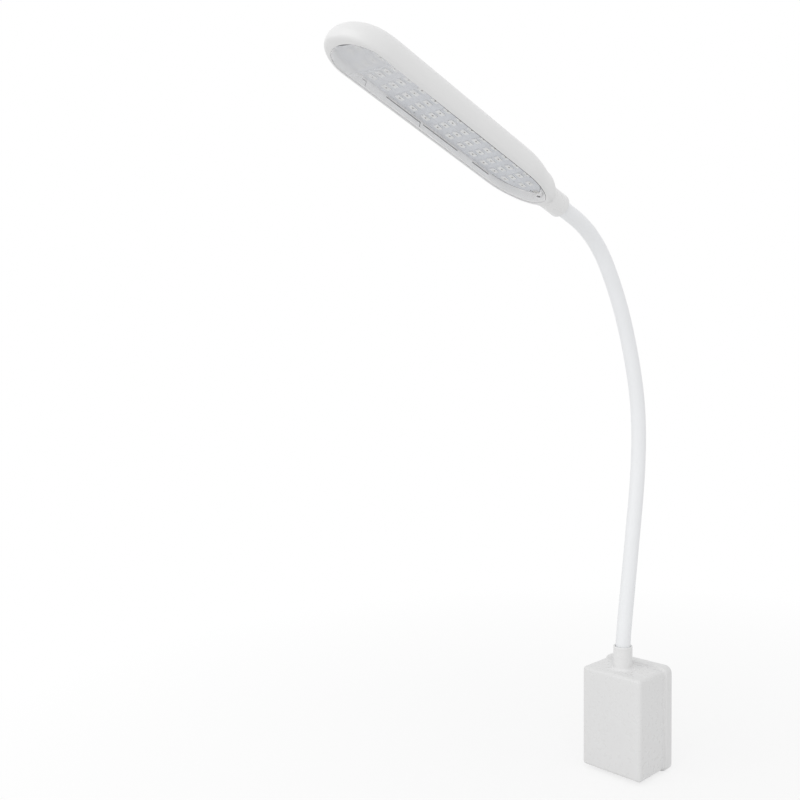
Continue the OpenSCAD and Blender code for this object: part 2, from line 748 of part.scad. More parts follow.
module thermal_pad() color("lightslategray") at_head() difference() {
    slab(pad_y, tray_y) board_outline();
    wire_way(pad_y, tray_y);
}

module led_board() color([0.78, 0.81, 0.88]) at_head() difference() {
    slab(board_y, pad_y) board_outline();
    wire_way(board_y, pad_y);
}

// Four columns in the full rows, two in the rows at each end
module led_chips() color("lightyellow") at_head() {
    reach = (led_rows + 1) / 2;
    for (row = [-reach:reach], column = [-1.5:1.5])
        if (abs(row) < reach || abs(column) < 1)
            translate([column * led_column_pitch, led_top_y + led_h / 2, led_middle + row * led_row_pitch])
                cube([led_w, led_h, led_l], center = true);
}

// Clear window on the tray's rim
module lens_cover() color([0.85, 0.9, 0.95, 0.4]) at_head()
    slab(window_y, window_y + lens_t) window_outline(slip);

// Thin leads from the gooseneck's wires, through the notch and on to the board
module head_wires() color("ivory") at_head() for (i = [-1, 1]) {
    on_board = board_y - head_wire_d / 2;
    wire([[i * wire_x, 0, wire_bend_z], [i * wire_x, 0, notch_z], [i * wire_x, on_board, notch_z + 1],
          [i * wire_x, on_board, solder_z]], head_wire_d);
}

base_front_shell();
base_rear_cover();
cover_screws();
plug_pins();
driver_board();
transformer();
capacitors();
rectifier();
choke();
fuse();
driver_chip();
switch_body();
switch_terminals();
rocker();
rocker_plunger();
contact_lever();
mains_wires();
output_wires();
lower_ferrule();
lower_nut();
for (k = [0:joint_count]) neck_sheath(k);
for (k = [0:joint_count]) neck_core(k);
for (k = [0:joint_count]) neck_wires(k);
neck_sleeve();
upper_ferrule();
neck_screw();
head_housing();
led_tray();
tray_screws();
thermal_pad();
led_board();
led_chips();
lens_cover();
head_wires();
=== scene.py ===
import math
from types import SimpleNamespace

import bmesh
import bpy
from bpy.props import FloatProperty, FloatVectorProperty, IntProperty, PointerProperty
from mathutils import Matrix, Vector


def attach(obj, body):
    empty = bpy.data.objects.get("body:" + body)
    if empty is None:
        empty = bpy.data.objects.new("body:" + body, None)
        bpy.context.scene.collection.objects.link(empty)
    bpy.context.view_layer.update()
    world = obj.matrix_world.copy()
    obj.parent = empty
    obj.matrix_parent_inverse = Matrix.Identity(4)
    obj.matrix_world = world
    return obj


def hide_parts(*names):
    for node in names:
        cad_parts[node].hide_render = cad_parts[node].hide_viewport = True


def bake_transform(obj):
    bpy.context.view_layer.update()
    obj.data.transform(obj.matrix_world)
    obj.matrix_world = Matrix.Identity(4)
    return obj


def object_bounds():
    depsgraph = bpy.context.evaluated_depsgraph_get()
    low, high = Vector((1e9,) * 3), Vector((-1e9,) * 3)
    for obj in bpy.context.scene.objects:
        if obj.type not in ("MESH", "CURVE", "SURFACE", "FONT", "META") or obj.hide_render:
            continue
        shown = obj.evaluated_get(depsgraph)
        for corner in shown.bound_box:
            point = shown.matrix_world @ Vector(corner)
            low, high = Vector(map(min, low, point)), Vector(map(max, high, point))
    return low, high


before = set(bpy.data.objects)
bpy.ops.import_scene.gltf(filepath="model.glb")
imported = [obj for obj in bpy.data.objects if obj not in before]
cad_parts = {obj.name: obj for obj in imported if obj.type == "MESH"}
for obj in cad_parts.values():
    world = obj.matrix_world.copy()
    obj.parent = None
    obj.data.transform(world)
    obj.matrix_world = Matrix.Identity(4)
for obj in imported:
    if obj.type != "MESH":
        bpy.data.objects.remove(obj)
CAD_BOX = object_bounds()

bl_info = {
    "name": "Plant Grow Lamp",
    "version": (1, 0, 0),
    "blender": (4, 5, 0),
    "location": "View3D > Sidebar > Grow Lamp",
    "description": "Builds the plug-in base, the gooseneck and the LED head of a plant grow lamp",
    "category": "Object",
}

MM = 0.001
JOINTS = 8
NECK_BODIES = ["base"] + [f"neck_{k}" for k in range(1, JOINTS)] + ["head"]


def length(name, text, millimetres):
    """A size in the sidebar, given in millimetres."""
    return FloatProperty(name=name, description=text, default=millimetres * MM, unit="LENGTH", precision=5)


def paint(name, text, colour):
    """A colour in the sidebar."""
    return FloatVectorProperty(name=name, description=text, default=colour, subtype="COLOR", min=0, max=1)


class GrowLampSizes(bpy.types.PropertyGroup):
    """Sizes of the lamp, as in the solid model, with the window 0.8 mm wider on each side."""

    base_width: length("Base width", "Width of the front shell", 53.5)
    base_height: length("Base height", "Height of the front shell", 76)
    base_front: length("Base front", "Distance of the front face from the wall", 40)
    base_edge: length("Base edge", "Radius of the front shell's edges", 2.6)
    base_wall: length("Base wall", "Wall of the front shell", 2)
    cover_depth: length("Cover depth", "Thickness of the rear cover", 6)
    cover_lip: length("Cover lip", "Lap of the rear cover over the front shell", 2)
    cover_step: length("Cover step", "Step from the front shell out to the rear cover", 2)
    cover_corner: length("Cover corner", "Corner radius of the rear cover", 5.5)
    collar_height: length("Collar height", "Height of the collar above the top face", 17.6)
    collar_radius: length("Collar radius", "Outer radius of the collar", 7.3)
    collar_bore: length("Collar bore", "Inner radius of the collar and the sleeve", 6.05)
    bezel_height: length("Bezel height", "Height of the switch's bezel", 21)
    bezel_depth: length("Bezel depth", "Depth of the switch's bezel", 15)
    bezel_out: length("Bezel stand-out", "How far the bezel stands out from the side", 2)
    switch_level: length("Switch level", "Height of the switch's middle", 2)
    switch_in: length("Switch body", "Depth of the switch's body in the base", 14)
    rocker_half: length("Rocker half", "Half length of the rocker", 6.6)
    rocker_top: length("Rocker top", "Height of the rocker's corners above its pivot", 4.2)
    rocker_tilt: FloatProperty(name="Rocker tilt", description="Tilt of the rocker at rest",
                               default=math.radians(12), subtype="ANGLE")
    tube_radius: length("Gooseneck radius", "Outer radius of the gooseneck", 5.7)
    first_length: length("First stretch", "Length of the stretch below the first joint", 19.6)
    link_length: length("Stretch", "Length between two joints", 48)
    turns: FloatVectorProperty(name="Turns", description="Turn of each stretch toward the front, in radians",
                               default=[math.radians(a) for a in (-9, 0, 0, 8, 15, 9, 13, 35)],
                               size=JOINTS, subtype="NONE")
    head_width: length("Head width", "Width of the head", 39.4)
    head_length: length("Head length", "Length of the housing", 186)
    head_back: length("Head back", "Depth of the housing behind its widest line", 20.5)
    head_front: length("Head front", "Bulge of the housing before its widest line", 3.3)
    nose_length: length("Nose", "Length of the rounded nose, seen from the front", 27)
    back_nose_length: length("Back nose", "Length of the rounded nose, seen from the side", 35)
    taper_length: length("Taper", "Length of the tapered neck end", 38)
    neck_half: length("Neck half", "Half width of the neck end", 8.4)
    sleeve_radius: length("Sleeve radius", "Outer radius of the sleeve", 8.2)
    sleeve_start: length("Sleeve start", "Distance of the sleeve from the last joint", 15)
    sleeve_length: length("Sleeve length", "Length of the sleeve", 17)
    window_half: length("Window half", "Half width of the window", 17.2)
    window_thickness: length("Window thickness", "Thickness of the clear window", 0.8)
    board_half: length("Board half", "Half width of the LED board", 15.5)
    led_recess: length("LED recess", "Distance from the window's back to the LEDs", 3.9)
    led_width: length("LED width", "Size of one LED across the head", 3.6)
    led_length: length("LED length", "Size of one LED along the head", 5.2)
    led_height: length("LED height", "Height of one LED", 0.7)
    led_column_pitch: length("Column pitch", "Distance between two columns", 6.5)
    led_rows: IntProperty(name="LED rows", description="Rows of LEDs with the two short rows", default=15)


class GrowLampColours(bpy.types.PropertyGroup):
    """Colours of the lamp's finishes."""

    shell: paint("Shell", "White plastic of the head and the base", (0.80, 0.80, 0.80))
    sheath: paint("Sheath", "Soft white skin of the gooseneck", (0.88, 0.89, 0.905))
    # Lighter than the shell, as painted light in the shaded dish
    tray: paint("Tray", "Plastic of the dish behind the window", (0.97, 0.97, 0.97))
    board: paint("Board", "Face of the LED board", (0.66, 0.68, 0.72))
    led: paint("LED", "Package of the LEDs", (0.81, 0.82, 0.82))
    black: paint("Black", "Plastic of the switch", (0.012, 0.012, 0.013))


def lengths(context):
    """All sizes of the sidebar in millimetres, and the ones that follow from them."""
    group = context.scene.grow_lamp_sizes
    s = SimpleNamespace()
    for name, prop in group.bl_rna.properties.items():
        if name in ("rna_type", "name"):
            continue
        value = getattr(group, name)
        setattr(s, name, value / MM if getattr(prop, "unit", "NONE") == "LENGTH" else value)
    s.top = s.base_height / 2
    s.side = s.base_width / 2
    s.middle_y = -s.base_front + (s.base_front - s.cover_depth - s.cover_lip) / 2
    s.switch_height, s.switch_depth = s.bezel_height - 2.2, s.bezel_depth - 2.2
    # Places in the head, along it from the last joint and in front of (-) or behind the sleeve's axis
    s.housing = s.sleeve_start + s.sleeve_length
    s.tip = s.housing + s.head_length
    s.window_y = -8.0
    s.widest_y = s.window_y + s.head_front
    s.window_tip = s.tip - 5.9
    s.window_end = s.housing + 4
    s.window_taper = 35.0
    s.window_end_half = 1.0
    s.dish_inset = 0.75
    s.led_top = s.window_y + s.window_thickness + s.led_recess
    s.board_y = s.led_top + s.led_height
    s.tray_y = s.board_y + 1.6
    s.board_tip = s.window_tip - 1.2
    s.board_end = s.window_end + 4.4
    s.led_first = s.board_tip - 9.4
    s.led_last = s.board_end + 12.4
    s.frames = neck_frames(s)
    return s


def row_pitch(s):
    """Distance between two rows of LEDs."""
    return (s.led_first - s.led_last) / (s.led_rows - 1)


# Gooseneck path

def advance(at, distance, turn):
    """The next frame (y, z, heading) after a stretch that turns toward the front."""
    y, z, heading = at
    if abs(turn) < 1e-9:
        return (y - distance * math.sin(heading), z + distance * math.cos(heading), heading)
    r = distance / turn
    return (y + r * (math.cos(heading + turn) - math.cos(heading)),
            z + r * (math.sin(heading + turn) - math.sin(heading)), heading + turn)


def neck_frames(s):
    """Frames of the gooseneck's start and its joints."""
    frames = [(s.middle_y, s.top + s.collar_height - 6.5, 0.0)]
    for k in range(JOINTS):
        frames.append(advance(frames[-1], s.first_length if k == 0 else s.link_length, s.turns[k]))
    return frames


def head_matrix(s):
    """From the head's own frame, Z to its tip, to the lamp's frame."""
    y, z, heading = s.frames[-1]
    return Matrix.Translation((0, y, z)) @ Matrix.Rotation(heading, 4, "X")


# Mesh helpers

def add_piece(name, vertices, faces, material, place=None, sharp=40, recalculate=True):
    """A mesh object from points in millimetres, shaded smooth up to an angle."""
    mesh = bpy.data.meshes.new(name)
    points = [Vector(v) for v in vertices]
    if place is not None:
        points = [place @ p for p in points]
    mesh.from_pydata([p * MM for p in points], [], faces)
    return dress(name, mesh, material, sharp, recalculate)


def dress(name, mesh, material, sharp=40, recalculate=True):
    """Closes the mesh up, turns its faces outward, smooths it and makes it an object."""
    made = bmesh.new()
    made.from_mesh(mesh)
    bmesh.ops.remove_doubles(made, verts=made.verts, dist=1e-7)
    if recalculate:
        bmesh.ops.recalc_face_normals(made, faces=made.faces)
    made.to_mesh(mesh)
    made.free()
    mesh.shade_smooth()
    mesh.set_sharp_from_angle(angle=math.radians(sharp))
    mesh.name = name
    if material is not None:
        mesh.materials.clear()
        mesh.materials.append(material)
    piece = bpy.data.objects.new(name, mesh)
    bpy.context.scene.collection.objects.link(piece)
    return piece


def settle(piece, body, slot, *nodes):
    """The piece moves with a body and stands for its CAD nodes; the slot is not used."""
    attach(piece, body)
    if nodes:
        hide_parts(*nodes)
    return piece


def bands(count, loops, around=False):
    """Quads between neighbouring loops of points; the last loop meets the first where they go around."""
    faces = []
    for k in range(loops if around else loops - 1):
        here, there = k * count, (k + 1) % loops * count
        for i in range(count):
            j = (i + 1) % count
            faces.append((here + i, here + j, there + j, there + i))
    return faces


def capped(count, loops):
    """Quads between neighbouring loops of points, with a face over the first loop and the last."""
    last = (loops - 1) * count
    return bands(count, loops) + [tuple(range(count - 1, -1, -1)), tuple(range(last, last + count))]


def revolve(profile, steps=64):
    """Closed ring from a closed profile of (radius, height) points, as points and faces."""
    points = []
    for i in range(steps):
        a = 2 * math.pi * i / steps
        points += [(r * math.cos(a), r * math.sin(a), z) for r, z in profile]
    return points, bands(len(profile), steps, True)


def arc(cx, cy, r, start, stop, steps):
    """Points on an arc, angles in degrees."""
    return [(cx + r * math.cos(math.radians(start + (stop - start) * i / steps)),
             cy + r * math.sin(math.radians(start + (stop - start) * i / steps))) for i in range(steps + 1)]


def rounded_rectangle(w, h, r, steps=8):
    """Outline of a rectangle with round corners."""
    x, y = w / 2 - r, h / 2 - r
    return (arc(x, -y, r, -90, 0, steps) + arc(x, y, r, 0, 90, steps)
            + arc(-x, y, r, 90, 180, steps) + arc(-x, -y, r, 180, 270, steps))


def prism(outline, low, high, edge_low, edge_high, steps=4):
    """Plate from an outline, with both rims rounded by an edge radius."""
    quarter = [math.radians(90 * i / steps) for i in range(steps + 1)]
    rings = [(edge_low * (1 - math.sin(a)), low + edge_low * (1 - math.cos(a))) for a in quarter]
    rings += [(edge_high * (1 - math.cos(a)), high - edge_high + edge_high * math.sin(a)) for a in quarter]
    n = len(outline)
    inward = []
    for i in range(n):
        a, b = Vector(outline[i - 1]), Vector(outline[(i + 1) % n])
        t = (b - a).normalized()
        inward.append(Vector((-t.y, t.x)))
    points = []
    for inset, level in rings:
        points += [(x + d.x * inset, y + d.y * inset, level) for (x, y), d in zip(outline, inward)]
    return points, capped(n, len(rings))


def block(low, high):
    """Box between two corners, as points and faces."""
    points = [(x, y, z) for x in (low[0], high[0]) for y in (low[1], high[1]) for z in (low[2], high[2])]
    return points, [(0, 1, 3, 2), (4, 6, 7, 5), (0, 4, 5, 1), (2, 3, 7, 6), (0, 2, 6, 4), (1, 5, 7, 3)]


def rod(radius, low, high, place, steps=32):
    """Cylinder along the Z of its place."""
    ring = [(radius * math.cos(2 * math.pi * i / steps), radius * math.sin(2 * math.pi * i / steps))
            for i in range(steps)]
    return [place @ Vector((x, y, z)) for z in (low, high) for x, y in ring], capped(steps, 2)


def joined(*parts):
    """Several sets of points and faces as one."""
    points, faces = [], []
    for p, f in parts:
        start = len(points)
        points += [tuple(v) for v in p]
        faces += [tuple(i + start for i in face) for face in f]
    return points, faces


def evaluated(piece):
    """Plain mesh of an object with its modifiers applied."""
    bpy.context.view_layer.update()
    return bpy.data.meshes.new_from_object(piece.evaluated_get(bpy.context.evaluated_depsgraph_get()))


def discard(*pieces):
    """Removes objects and their meshes."""
    for piece in pieces:
        mesh = piece.data
        bpy.data.objects.remove(piece)
        bpy.data.meshes.remove(mesh)


def carved(name, part, cutters):
    """Cuts closed parts out of a closed part and gives what is left as points and faces."""
    body = add_piece(name, *part, None)
    tools = []
    for i, cutter in enumerate(cutters):
        tools.append(add_piece(f"{name}_cut_{i}", *cutter, None))
        modifier = body.modifiers.new("cut", "BOOLEAN")
        modifier.operation = "DIFFERENCE"
        modifier.solver = "EXACT"
        modifier.object = tools[-1]
    mesh = evaluated(body)
    discard(body, *tools)
    left = [v.co / MM for v in mesh.vertices], [tuple(p.vertices) for p in mesh.polygons]
    bpy.data.meshes.remove(mesh)
    return left


# Node trees

def feed(tree, node, inputs):
    """Gives inputs of a node their values, or links them to other nodes' outputs."""
    for name, value in inputs.items():
        if isinstance(value, bpy.types.NodeSocket):
            tree.links.new(value, node.inputs[name])
        else:
            node.inputs[name].default_value = value


def add_node(tree, kind, inputs=None, **settings):
    """A new node of a tree, with its settings and inputs; gives its outputs."""
    node = tree.nodes.new(kind)
    for name, value in settings.items():
        setattr(node, name, value)
    feed(tree, node, inputs or {})
    return node.outputs


def calculated(tree, operation, first, second=0.0):
    """Result of an operation on one or two numbers or outputs."""
    return add_node(tree, "ShaderNodeMath", {0: first, 1: second}, operation=operation)[0]


def object_coordinates(tree):
    """Coordinates of the piece, which sits at the origin."""
    return add_node(tree, "ShaderNodeTexCoord")["Object"]


# Materials

FINISHES = {}


def noise(tree, coordinates, scale, detail=3.0):
    """Noise value on the given coordinates."""
    return add_node(tree, "ShaderNodeTexNoise", {"Vector": coordinates, "Scale": scale, "Detail": detail})[0]


def between(tree, factor, low, high):
    """Number between two others by a noise value."""
    return add_node(tree, "ShaderNodeMapRange", {"Value": factor, "From Min": 0.3, "From Max": 0.7,
                                                 "To Min": low, "To Max": high})["Result"]


def blended(tree, factor, first, second):
    """Colour between two opaque colours or colour outputs by a factor."""
    return add_node(tree, "ShaderNodeMix", {0: factor, 6: first, 7: second}, data_type="RGBA")[2]


def shaded(colour, share=1.0):
    """The colour, darker or lighter."""
    return tuple(min(1.0, c * share) for c in colour[:3])


def opaque(colour, share=1.0):
    """The colour, darker or lighter, with full alpha."""
    return (*shaded(colour, share), 1)


def finish(name, colour, roughness, grain=1800.0, relief=0.03, mottle=0.02, wander=0.06, metallic=0.0):
    """Procedural finish: faint patches in the colour, uneven gloss and a fine grain."""
    material = FINISHES[name] = bpy.data.materials.new(f"{name}_finish")
    material.use_nodes = True
    tree = material.node_tree
    coordinates = object_coordinates(tree)
    patches, gloss = noise(tree, coordinates, 45.0), noise(tree, coordinates, 260.0)
    bump = {"Height": noise(tree, coordinates, grain, 2.0), "Strength": relief, "Distance": 0.0002}
    shade(material, {
        "Base Color": blended(tree, patches, opaque(colour, 1 - mottle), opaque(colour, 1 + mottle)),
        "Roughness": between(tree, gloss, roughness - wander, roughness + wander),
        "Normal": add_node(tree, "ShaderNodeBump", bump)["Normal"],
        "Metallic": metallic,
    })
    return material


def shade(material, inputs):
    """Gives inputs of the material's shader other values or outputs."""
    feed(material.node_tree, material.node_tree.nodes["Principled BSDF"], inputs)


def head_coordinates(tree, s):
    """Object coordinates turned so that X runs across the head, Y along it to the tip."""
    y, z, heading = s.frames[-1]
    turn = -heading - math.pi / 2
    shift = Matrix.Rotation(turn, 3, "X") @ Vector((0, -y, -z)) * MM
    return add_node(tree, "ShaderNodeMapping", {"Vector": object_coordinates(tree), "Rotation": (turn, 0, 0),
                                                "Location": shift})["Vector"]


def board_finish(context, s):
    """Pale solder mask with faint tracks between the LEDs."""
    colour = context.scene.grow_lamp_colours.board
    material = finish("led_board_mask", colour, 0.42, grain=900, relief=0.02, mottle=0.03)
    tree = material.node_tree
    flat = head_coordinates(tree, s)
    tracks = add_node(tree, "ShaderNodeTexBrick", {
        "Vector": flat, "Scale": 1.0, "Brick Width": s.led_column_pitch * MM, "Row Height": row_pitch(s) * MM,
        "Mortar Size": 0.00035, "Color1": opaque(colour), "Color2": opaque(colour, 1.05),
        "Mortar": opaque(colour, 0.86)}, offset=0.0)
    patches = noise(tree, flat, 60.0)
    shade(material, {"Base Color": blended(tree, patches, tracks["Color"], opaque(colour, 1.02))})
    return material


def window_finish(s):
    """Clear plastic with a white veil that thickens toward the tip, a painted reflection of the bright
    surroundings.
    """
    material = finish("clear_window", (0.97, 0.97, 0.98), 0.12, grain=500, relief=0.004, mottle=0.01,
                      wander=0.03)
    tree = material.node_tree
    along = add_node(tree, "ShaderNodeSeparateXYZ", {0: head_coordinates(tree, s)})["Y"]
    # Painted reflection: the veil grows more opaque toward the tip
    reflection_veil = add_node(tree, "ShaderNodeMapRange", {
        "Value": along, "From Min": (s.window_tip - 62) * MM, "From Max": (s.window_tip - 12) * MM,
        "To Min": 0.1, "To Max": 0.3}, interpolation_type="SMOOTHSTEP")["Result"]
    shade(material, {"Alpha": reflection_veil})
    return material


def finishes(context):
    """The lamp's finishes by name, made once."""
    if FINISHES:
        return FINISHES
    c = context.scene.grow_lamp_colours
    s = lengths(context)
    finish("white_shell", c.shell, 0.34, relief=0.01, mottle=0.008)
    # Lit and shaded copies of the white shell: base and cover a little darker as painted shade, collar and
    # sleeve lighter as painted light
    finish("base_shell", shaded(c.shell, 0.965), 0.3, relief=0.01, mottle=0.008)
    finish("lit_collar_shell", shaded(c.shell, 1.03), 0.3, relief=0.01, mottle=0.008)
    finish("shaded_cover_shell", shaded(c.shell, 0.965), 0.34, relief=0.012, mottle=0.008)
    finish("neck_skin", c.sheath, 0.42, grain=2600, relief=0.05)
    # Painted light: a faint glow lightens the shaded dish, standing in for the light that comes through its
    # walls
    shade(finish("tray_plastic_glow", c.tray, 0.4, relief=0.04),
          {"Emission Color": (1, 1, 1, 1), "Emission Strength": 0.035})
    finish("black_plastic", c.black, 0.38, relief=0.06, mottle=0.1)
    finish("rocker_plastic", shaded(c.black, 0.9), 0.25, relief=0.03, mottle=0.1)
    finish("led_package", c.led, 0.35, grain=3000, relief=0.02)
    finish("led_phosphor", (0.79, 0.79, 0.77), 0.3, grain=6000, relief=0.03)
    finish("led_die", (0.07, 0.065, 0.06), 0.3, grain=6000, relief=0.02, mottle=0.1)
    # Dark grey for painted shade in gaps, slits and holes
    finish("painted_gap_shade", (0.10, 0.10, 0.105), 0.7, relief=0.02, mottle=0.1)
    finish("zinc_steel", (0.62, 0.63, 0.64), 0.28, grain=4000, relief=0.05, wander=0.08, metallic=1.0)
    finish("plated_brass", (0.78, 0.72, 0.52), 0.24, grain=5000, relief=0.04, wander=0.08, metallic=1.0)
    finish("contact_brass", (0.76, 0.58, 0.28), 0.3, grain=5000, relief=0.05, wander=0.08, metallic=1.0)
    finish("core_steel", (0.35, 0.36, 0.38), 0.4, grain=1500, relief=0.2, wander=0.1, metallic=1.0)
    finish("wire_skin", (0.78, 0.77, 0.72), 0.45, relief=0.05)
    finish("mains_skin", (0.45, 0.03, 0.025), 0.42, relief=0.05)
    finish("green_board", (0.02, 0.16, 0.07), 0.3, relief=0.03, mottle=0.12)
    finish("ferrite", (0.05, 0.048, 0.047), 0.75, relief=0.3, mottle=0.15)
    finish("can_sleeve", (0.02, 0.03, 0.10), 0.3, relief=0.02, mottle=0.1)
    finish("chip_package", (0.02, 0.02, 0.02), 0.55, relief=0.1, mottle=0.12)
    finish("copper_wire", (0.55, 0.22, 0.10), 0.3, grain=3500, relief=0.2, metallic=1.0)
    finish("fuse_ceramic", (0.72, 0.70, 0.66), 0.35, relief=0.03)
    finish("slate_pad", (0.10, 0.105, 0.115), 0.7, relief=0.15, mottle=0.08)
    finish("plunger_plastic", (0.50, 0.58, 0.68), 0.35, relief=0.03)
    board_finish(context, s)
    window_finish(s)
    return FINISHES


# Head

TAPER_POWER = 2.6  # how slender the neck end is, seen from the front
LOFT_LENGTH = 14  # stretch over which the head's outline leaves the sleeve's circle


def half_at(s, z):
    """Half width of the head at a height."""
    taper = taper_share(s, z) ** TAPER_POWER
    return (s.neck_half + (s.head_width / 2 - s.neck_half) * taper) * nose_share(s, z, s.nose_length)


def back_at(s, z):
    """Depth of the head behind its widest line at a height."""
    neck_back = s.sleeve_radius - widest_at(s, z)
    return (neck_back + (s.head_back - neck_back) * taper_share(s, z)) * nose_share(s, z, s.back_nose_length)


def widest_at(s, z):
    """Height of the head's widest line: at the sleeve's middle at the neck end, then near the window."""
    t = max(0.0, min(1.0, (z - s.housing) / LOFT_LENGTH))
    return s.widest_y * t * t * (3 - 2 * t)


def nose_share(s, z, nose):
    """Share of the full size that a rounded nose of a given length leaves."""
    t = max(0.0, (z - (s.tip - nose)) / nose)
    return math.sqrt(max(0.0, 1 - t * t))


def taper_share(s, z):
    """Share of the full size that the tapered neck end leaves."""
    t = max(0.0, min(1.0, (s.housing + s.taper_length - z) / s.taper_length))
    return math.sqrt(max(0.0, 1 - t * t))


def rim_pairs(s, inset=0.0):
    """Right half of the head's outline and of the window's, from the tip to the neck end, side by side."""
    half, window = s.head_width / 2, s.window_half - inset
    nose_z, window_z = s.tip - s.nose_length, s.window_tip - s.window_half
    end_half, low = s.window_end_half - inset / 2, s.window_end + inset
    pairs = []
    for i in range(36):
        a = math.radians(90 - 90 * i / 36)
        pairs.append(((half * math.cos(a), nose_z + s.nose_length * math.sin(a)),
                      (window * math.cos(a), window_z + window * math.sin(a))))
    for i in range(40):
        t = i / 40
        pairs.append(((half, nose_z + t * (s.housing + s.taper_length - nose_z)),
                      (window, window_z + t * (low + s.window_taper - window_z))))
    for i in range(33):
        a = math.radians(90 - 90 * i / 32)
        z = s.housing + s.taper_length * (1 - math.cos(a))
        pairs.append(((half_at(s, z), z), (end_half + (window - end_half) * math.sin(a),
                                           low + s.window_taper * (1 - math.cos(a)))))
    return pairs


def window_loop(s, inset):
    """The window's outline as a closed loop in X and Z."""
    right = [w for _, w in rim_pairs(s, inset)]
    return right + [(-x, z) for x, z in reversed(right[1:])]


class GROWLAMP_OT_head_shell(bpy.types.Operator):
    """Makes the head's housing: arched back, rounded rim and the pocket behind the window"""

    bl_idname = "growlamp.head_shell"
    bl_label = "Head Shell"

    ARCH_STEPS, END_STEPS, RIM_STEPS, LIP_STEPS = 48, 6, 9, 3
    RIM_POWER = 0.8  # below 1 the rim's rounding is squarer than a circle
    LIP = 0.2  # rounding of the rim's edge at the window

    def execute(self, context):
        s = lengths(context)
        points, faces = [], []
        edge, window = self.back(s, points, faces)
        rings = [edge] + self.rim(s, edge, window, points)
        for first, second in zip(rings, rings[1:]):
            for i in range(len(edge)):
                j = (i + 1) % len(edge)
                faces.append((first[i], first[j], second[j], second[i]))
        faces.append(tuple(rings[-1]))
        piece = add_piece("head_shell", points, faces, finishes(context)["white_shell"], head_matrix(s), 50)
        settle(piece, "head", "white_shell", "head_housing")
        return {"FINISHED"}

    def back(self, s, points, faces):
        """Adds the arched back and the neck's end face; gives the points of its edge and of the window."""
        right = rim_pairs(s)
        rows = []
        for (half, z), _ in right:
            row = []
            for i in range(self.ARCH_STEPS + 1):
                a = math.pi * i / self.ARCH_STEPS
                if half < 1e-6 and i:
                    row.append(row[0])
                    continue
                row.append(len(points))
                points.append((half * math.cos(a), widest_at(s, z) + back_at(s, z) * math.sin(a), z))
            rows.append(row)
        for upper, lower in zip(rows, rows[1:]):
            for i in range(self.ARCH_STEPS):
                faces.append(tuple(dict.fromkeys((upper[i], upper[i + 1], lower[i + 1], lower[i]))))
        edge, window = [row[0] for row in rows], [w for _, w in right]
        for i in range(1, 2 * self.END_STEPS):
            share = 1 - i / self.END_STEPS
            edge.append(len(points))
            points.append((s.neck_half * share, -s.sleeve_radius * math.sqrt(1 - share ** 2), s.housing))
            window.append((s.window_end_half * share, s.window_end))
        faces.append(tuple(rows[-1]) + tuple(reversed(edge[len(rows):])))
        edge += [row[-1] for row in reversed(rows[1:])]
        window += [(-x, z) for _, (x, z) in reversed(right[1:])]
        return edge, window

    def rim(self, s, edge, window, points):
        """Adds the rounded rim, its lip and the pocket's wall; gives their loops from the edge inward."""
        outer = [Vector((points[i][0], points[i][2])) for i in edge]
        starts = [points[i][1] for i in edge]
        hole = [Vector(w) for w in window]
        away = [(o - h).normalized() for o, h in zip(outer, hole)]
        loops = []
        for j in range(1, self.RIM_STEPS + 1):
            a = math.radians(90 * j / self.RIM_STEPS)
            share, rise = 1 - math.cos(a) ** self.RIM_POWER, math.sin(a) ** self.RIM_POWER
            plans = [o.lerp(h + d * self.LIP, share) for o, h, d in zip(outer, hole, away)]
            loops.append([(p.x, y + (s.window_y - y) * rise, p.y) for p, y in zip(plans, starts)])
        quarter = [math.radians(90 * j / self.LIP_STEPS) for j in range(1, self.LIP_STEPS + 1)]
        levels = [(self.LIP * (1 - math.sin(a)), s.window_y + self.LIP * (1 - math.cos(a))) for a in quarter]
        for out, level in levels + [(0.0, s.tray_y + 1.75)]:
            plans = [h + d * out for h, d in zip(hole, away)]
            loops.append([(p.x, level, p.y) for p in plans])
        rings = []
        for loop in loops:
            rings.append(range(len(points), len(points) + len(loop)))
            points.extend(loop)
        return rings


class GROWLAMP_OT_window(bpy.types.Operator):
    """Makes the clear window in the head's rim"""

    bl_idname = "growlamp.window"
    bl_label = "Clear Window"

    def execute(self, context):
        s = lengths(context)
        loop = [(x, -z) for x, z in window_loop(s, 0.03)]
        points, faces = prism(loop, 0, s.window_thickness, 0.05, 0.05)
        points = [(x, s.window_y + s.window_thickness - level, -z) for x, z, level in points]
        made, place = finishes(context), head_matrix(s)
        piece = add_piece("clear_window", points, faces, made["clear_window"], place, 30)
        piece.visible_shadow = False
        settle(piece, "head", "clear_window", "lens_cover")
        edge = [w for _, w in rim_pairs(s)]
        wedge, top = 9, 165  # reach of the wide painted shadow at the tip, upper end of the thin painted shadow along the side
        tip = [(x, z, 0.6 * math.sin(math.pi * x / wedge)) for x, z in edge if x < wedge and z > 150]
        side = [(x, z, 0.4 * min(1.0, (top - z) / 30, (x - 5) / 9)) for x, z in edge if x > 6 and z < top]
        # Painted shadow: dark strips where the near rim shades the gap at the window's edge, wide at the tip
        # and thin along the near side
        painted_shadows = joined(self.seam(s, tip), self.seam(s, side))
        piece = add_piece("window_seam", *painted_shadows, made["painted_gap_shade"], place, 30)
        settle(piece, "head", "clear_window")
        return {"FINISHED"}

    def seam(self, s, run):
        """Thin dark strip of painted shadow in the gap between the rim and the window, along points with a
        width each.
        """
        points = []
        for i, (x, z, width) in enumerate(run):
            before, after = Vector(run[max(0, i - 1)][:2]), Vector(run[min(len(run) - 1, i + 1)][:2])
            along = (after - before).normalized()
            inward = Vector((along.y, -along.x))
            near, far = Vector((x, z)) + inward * 0.05, Vector((x, z)) + inward * (0.07 + width)
            back, front = s.window_y + 0.02, s.window_y - 0.02
            points += [(p.x, y, p.y) for y, p in ((back, near), (back, far), (front, far), (front, near))]
        return points, capped(4, len(run))


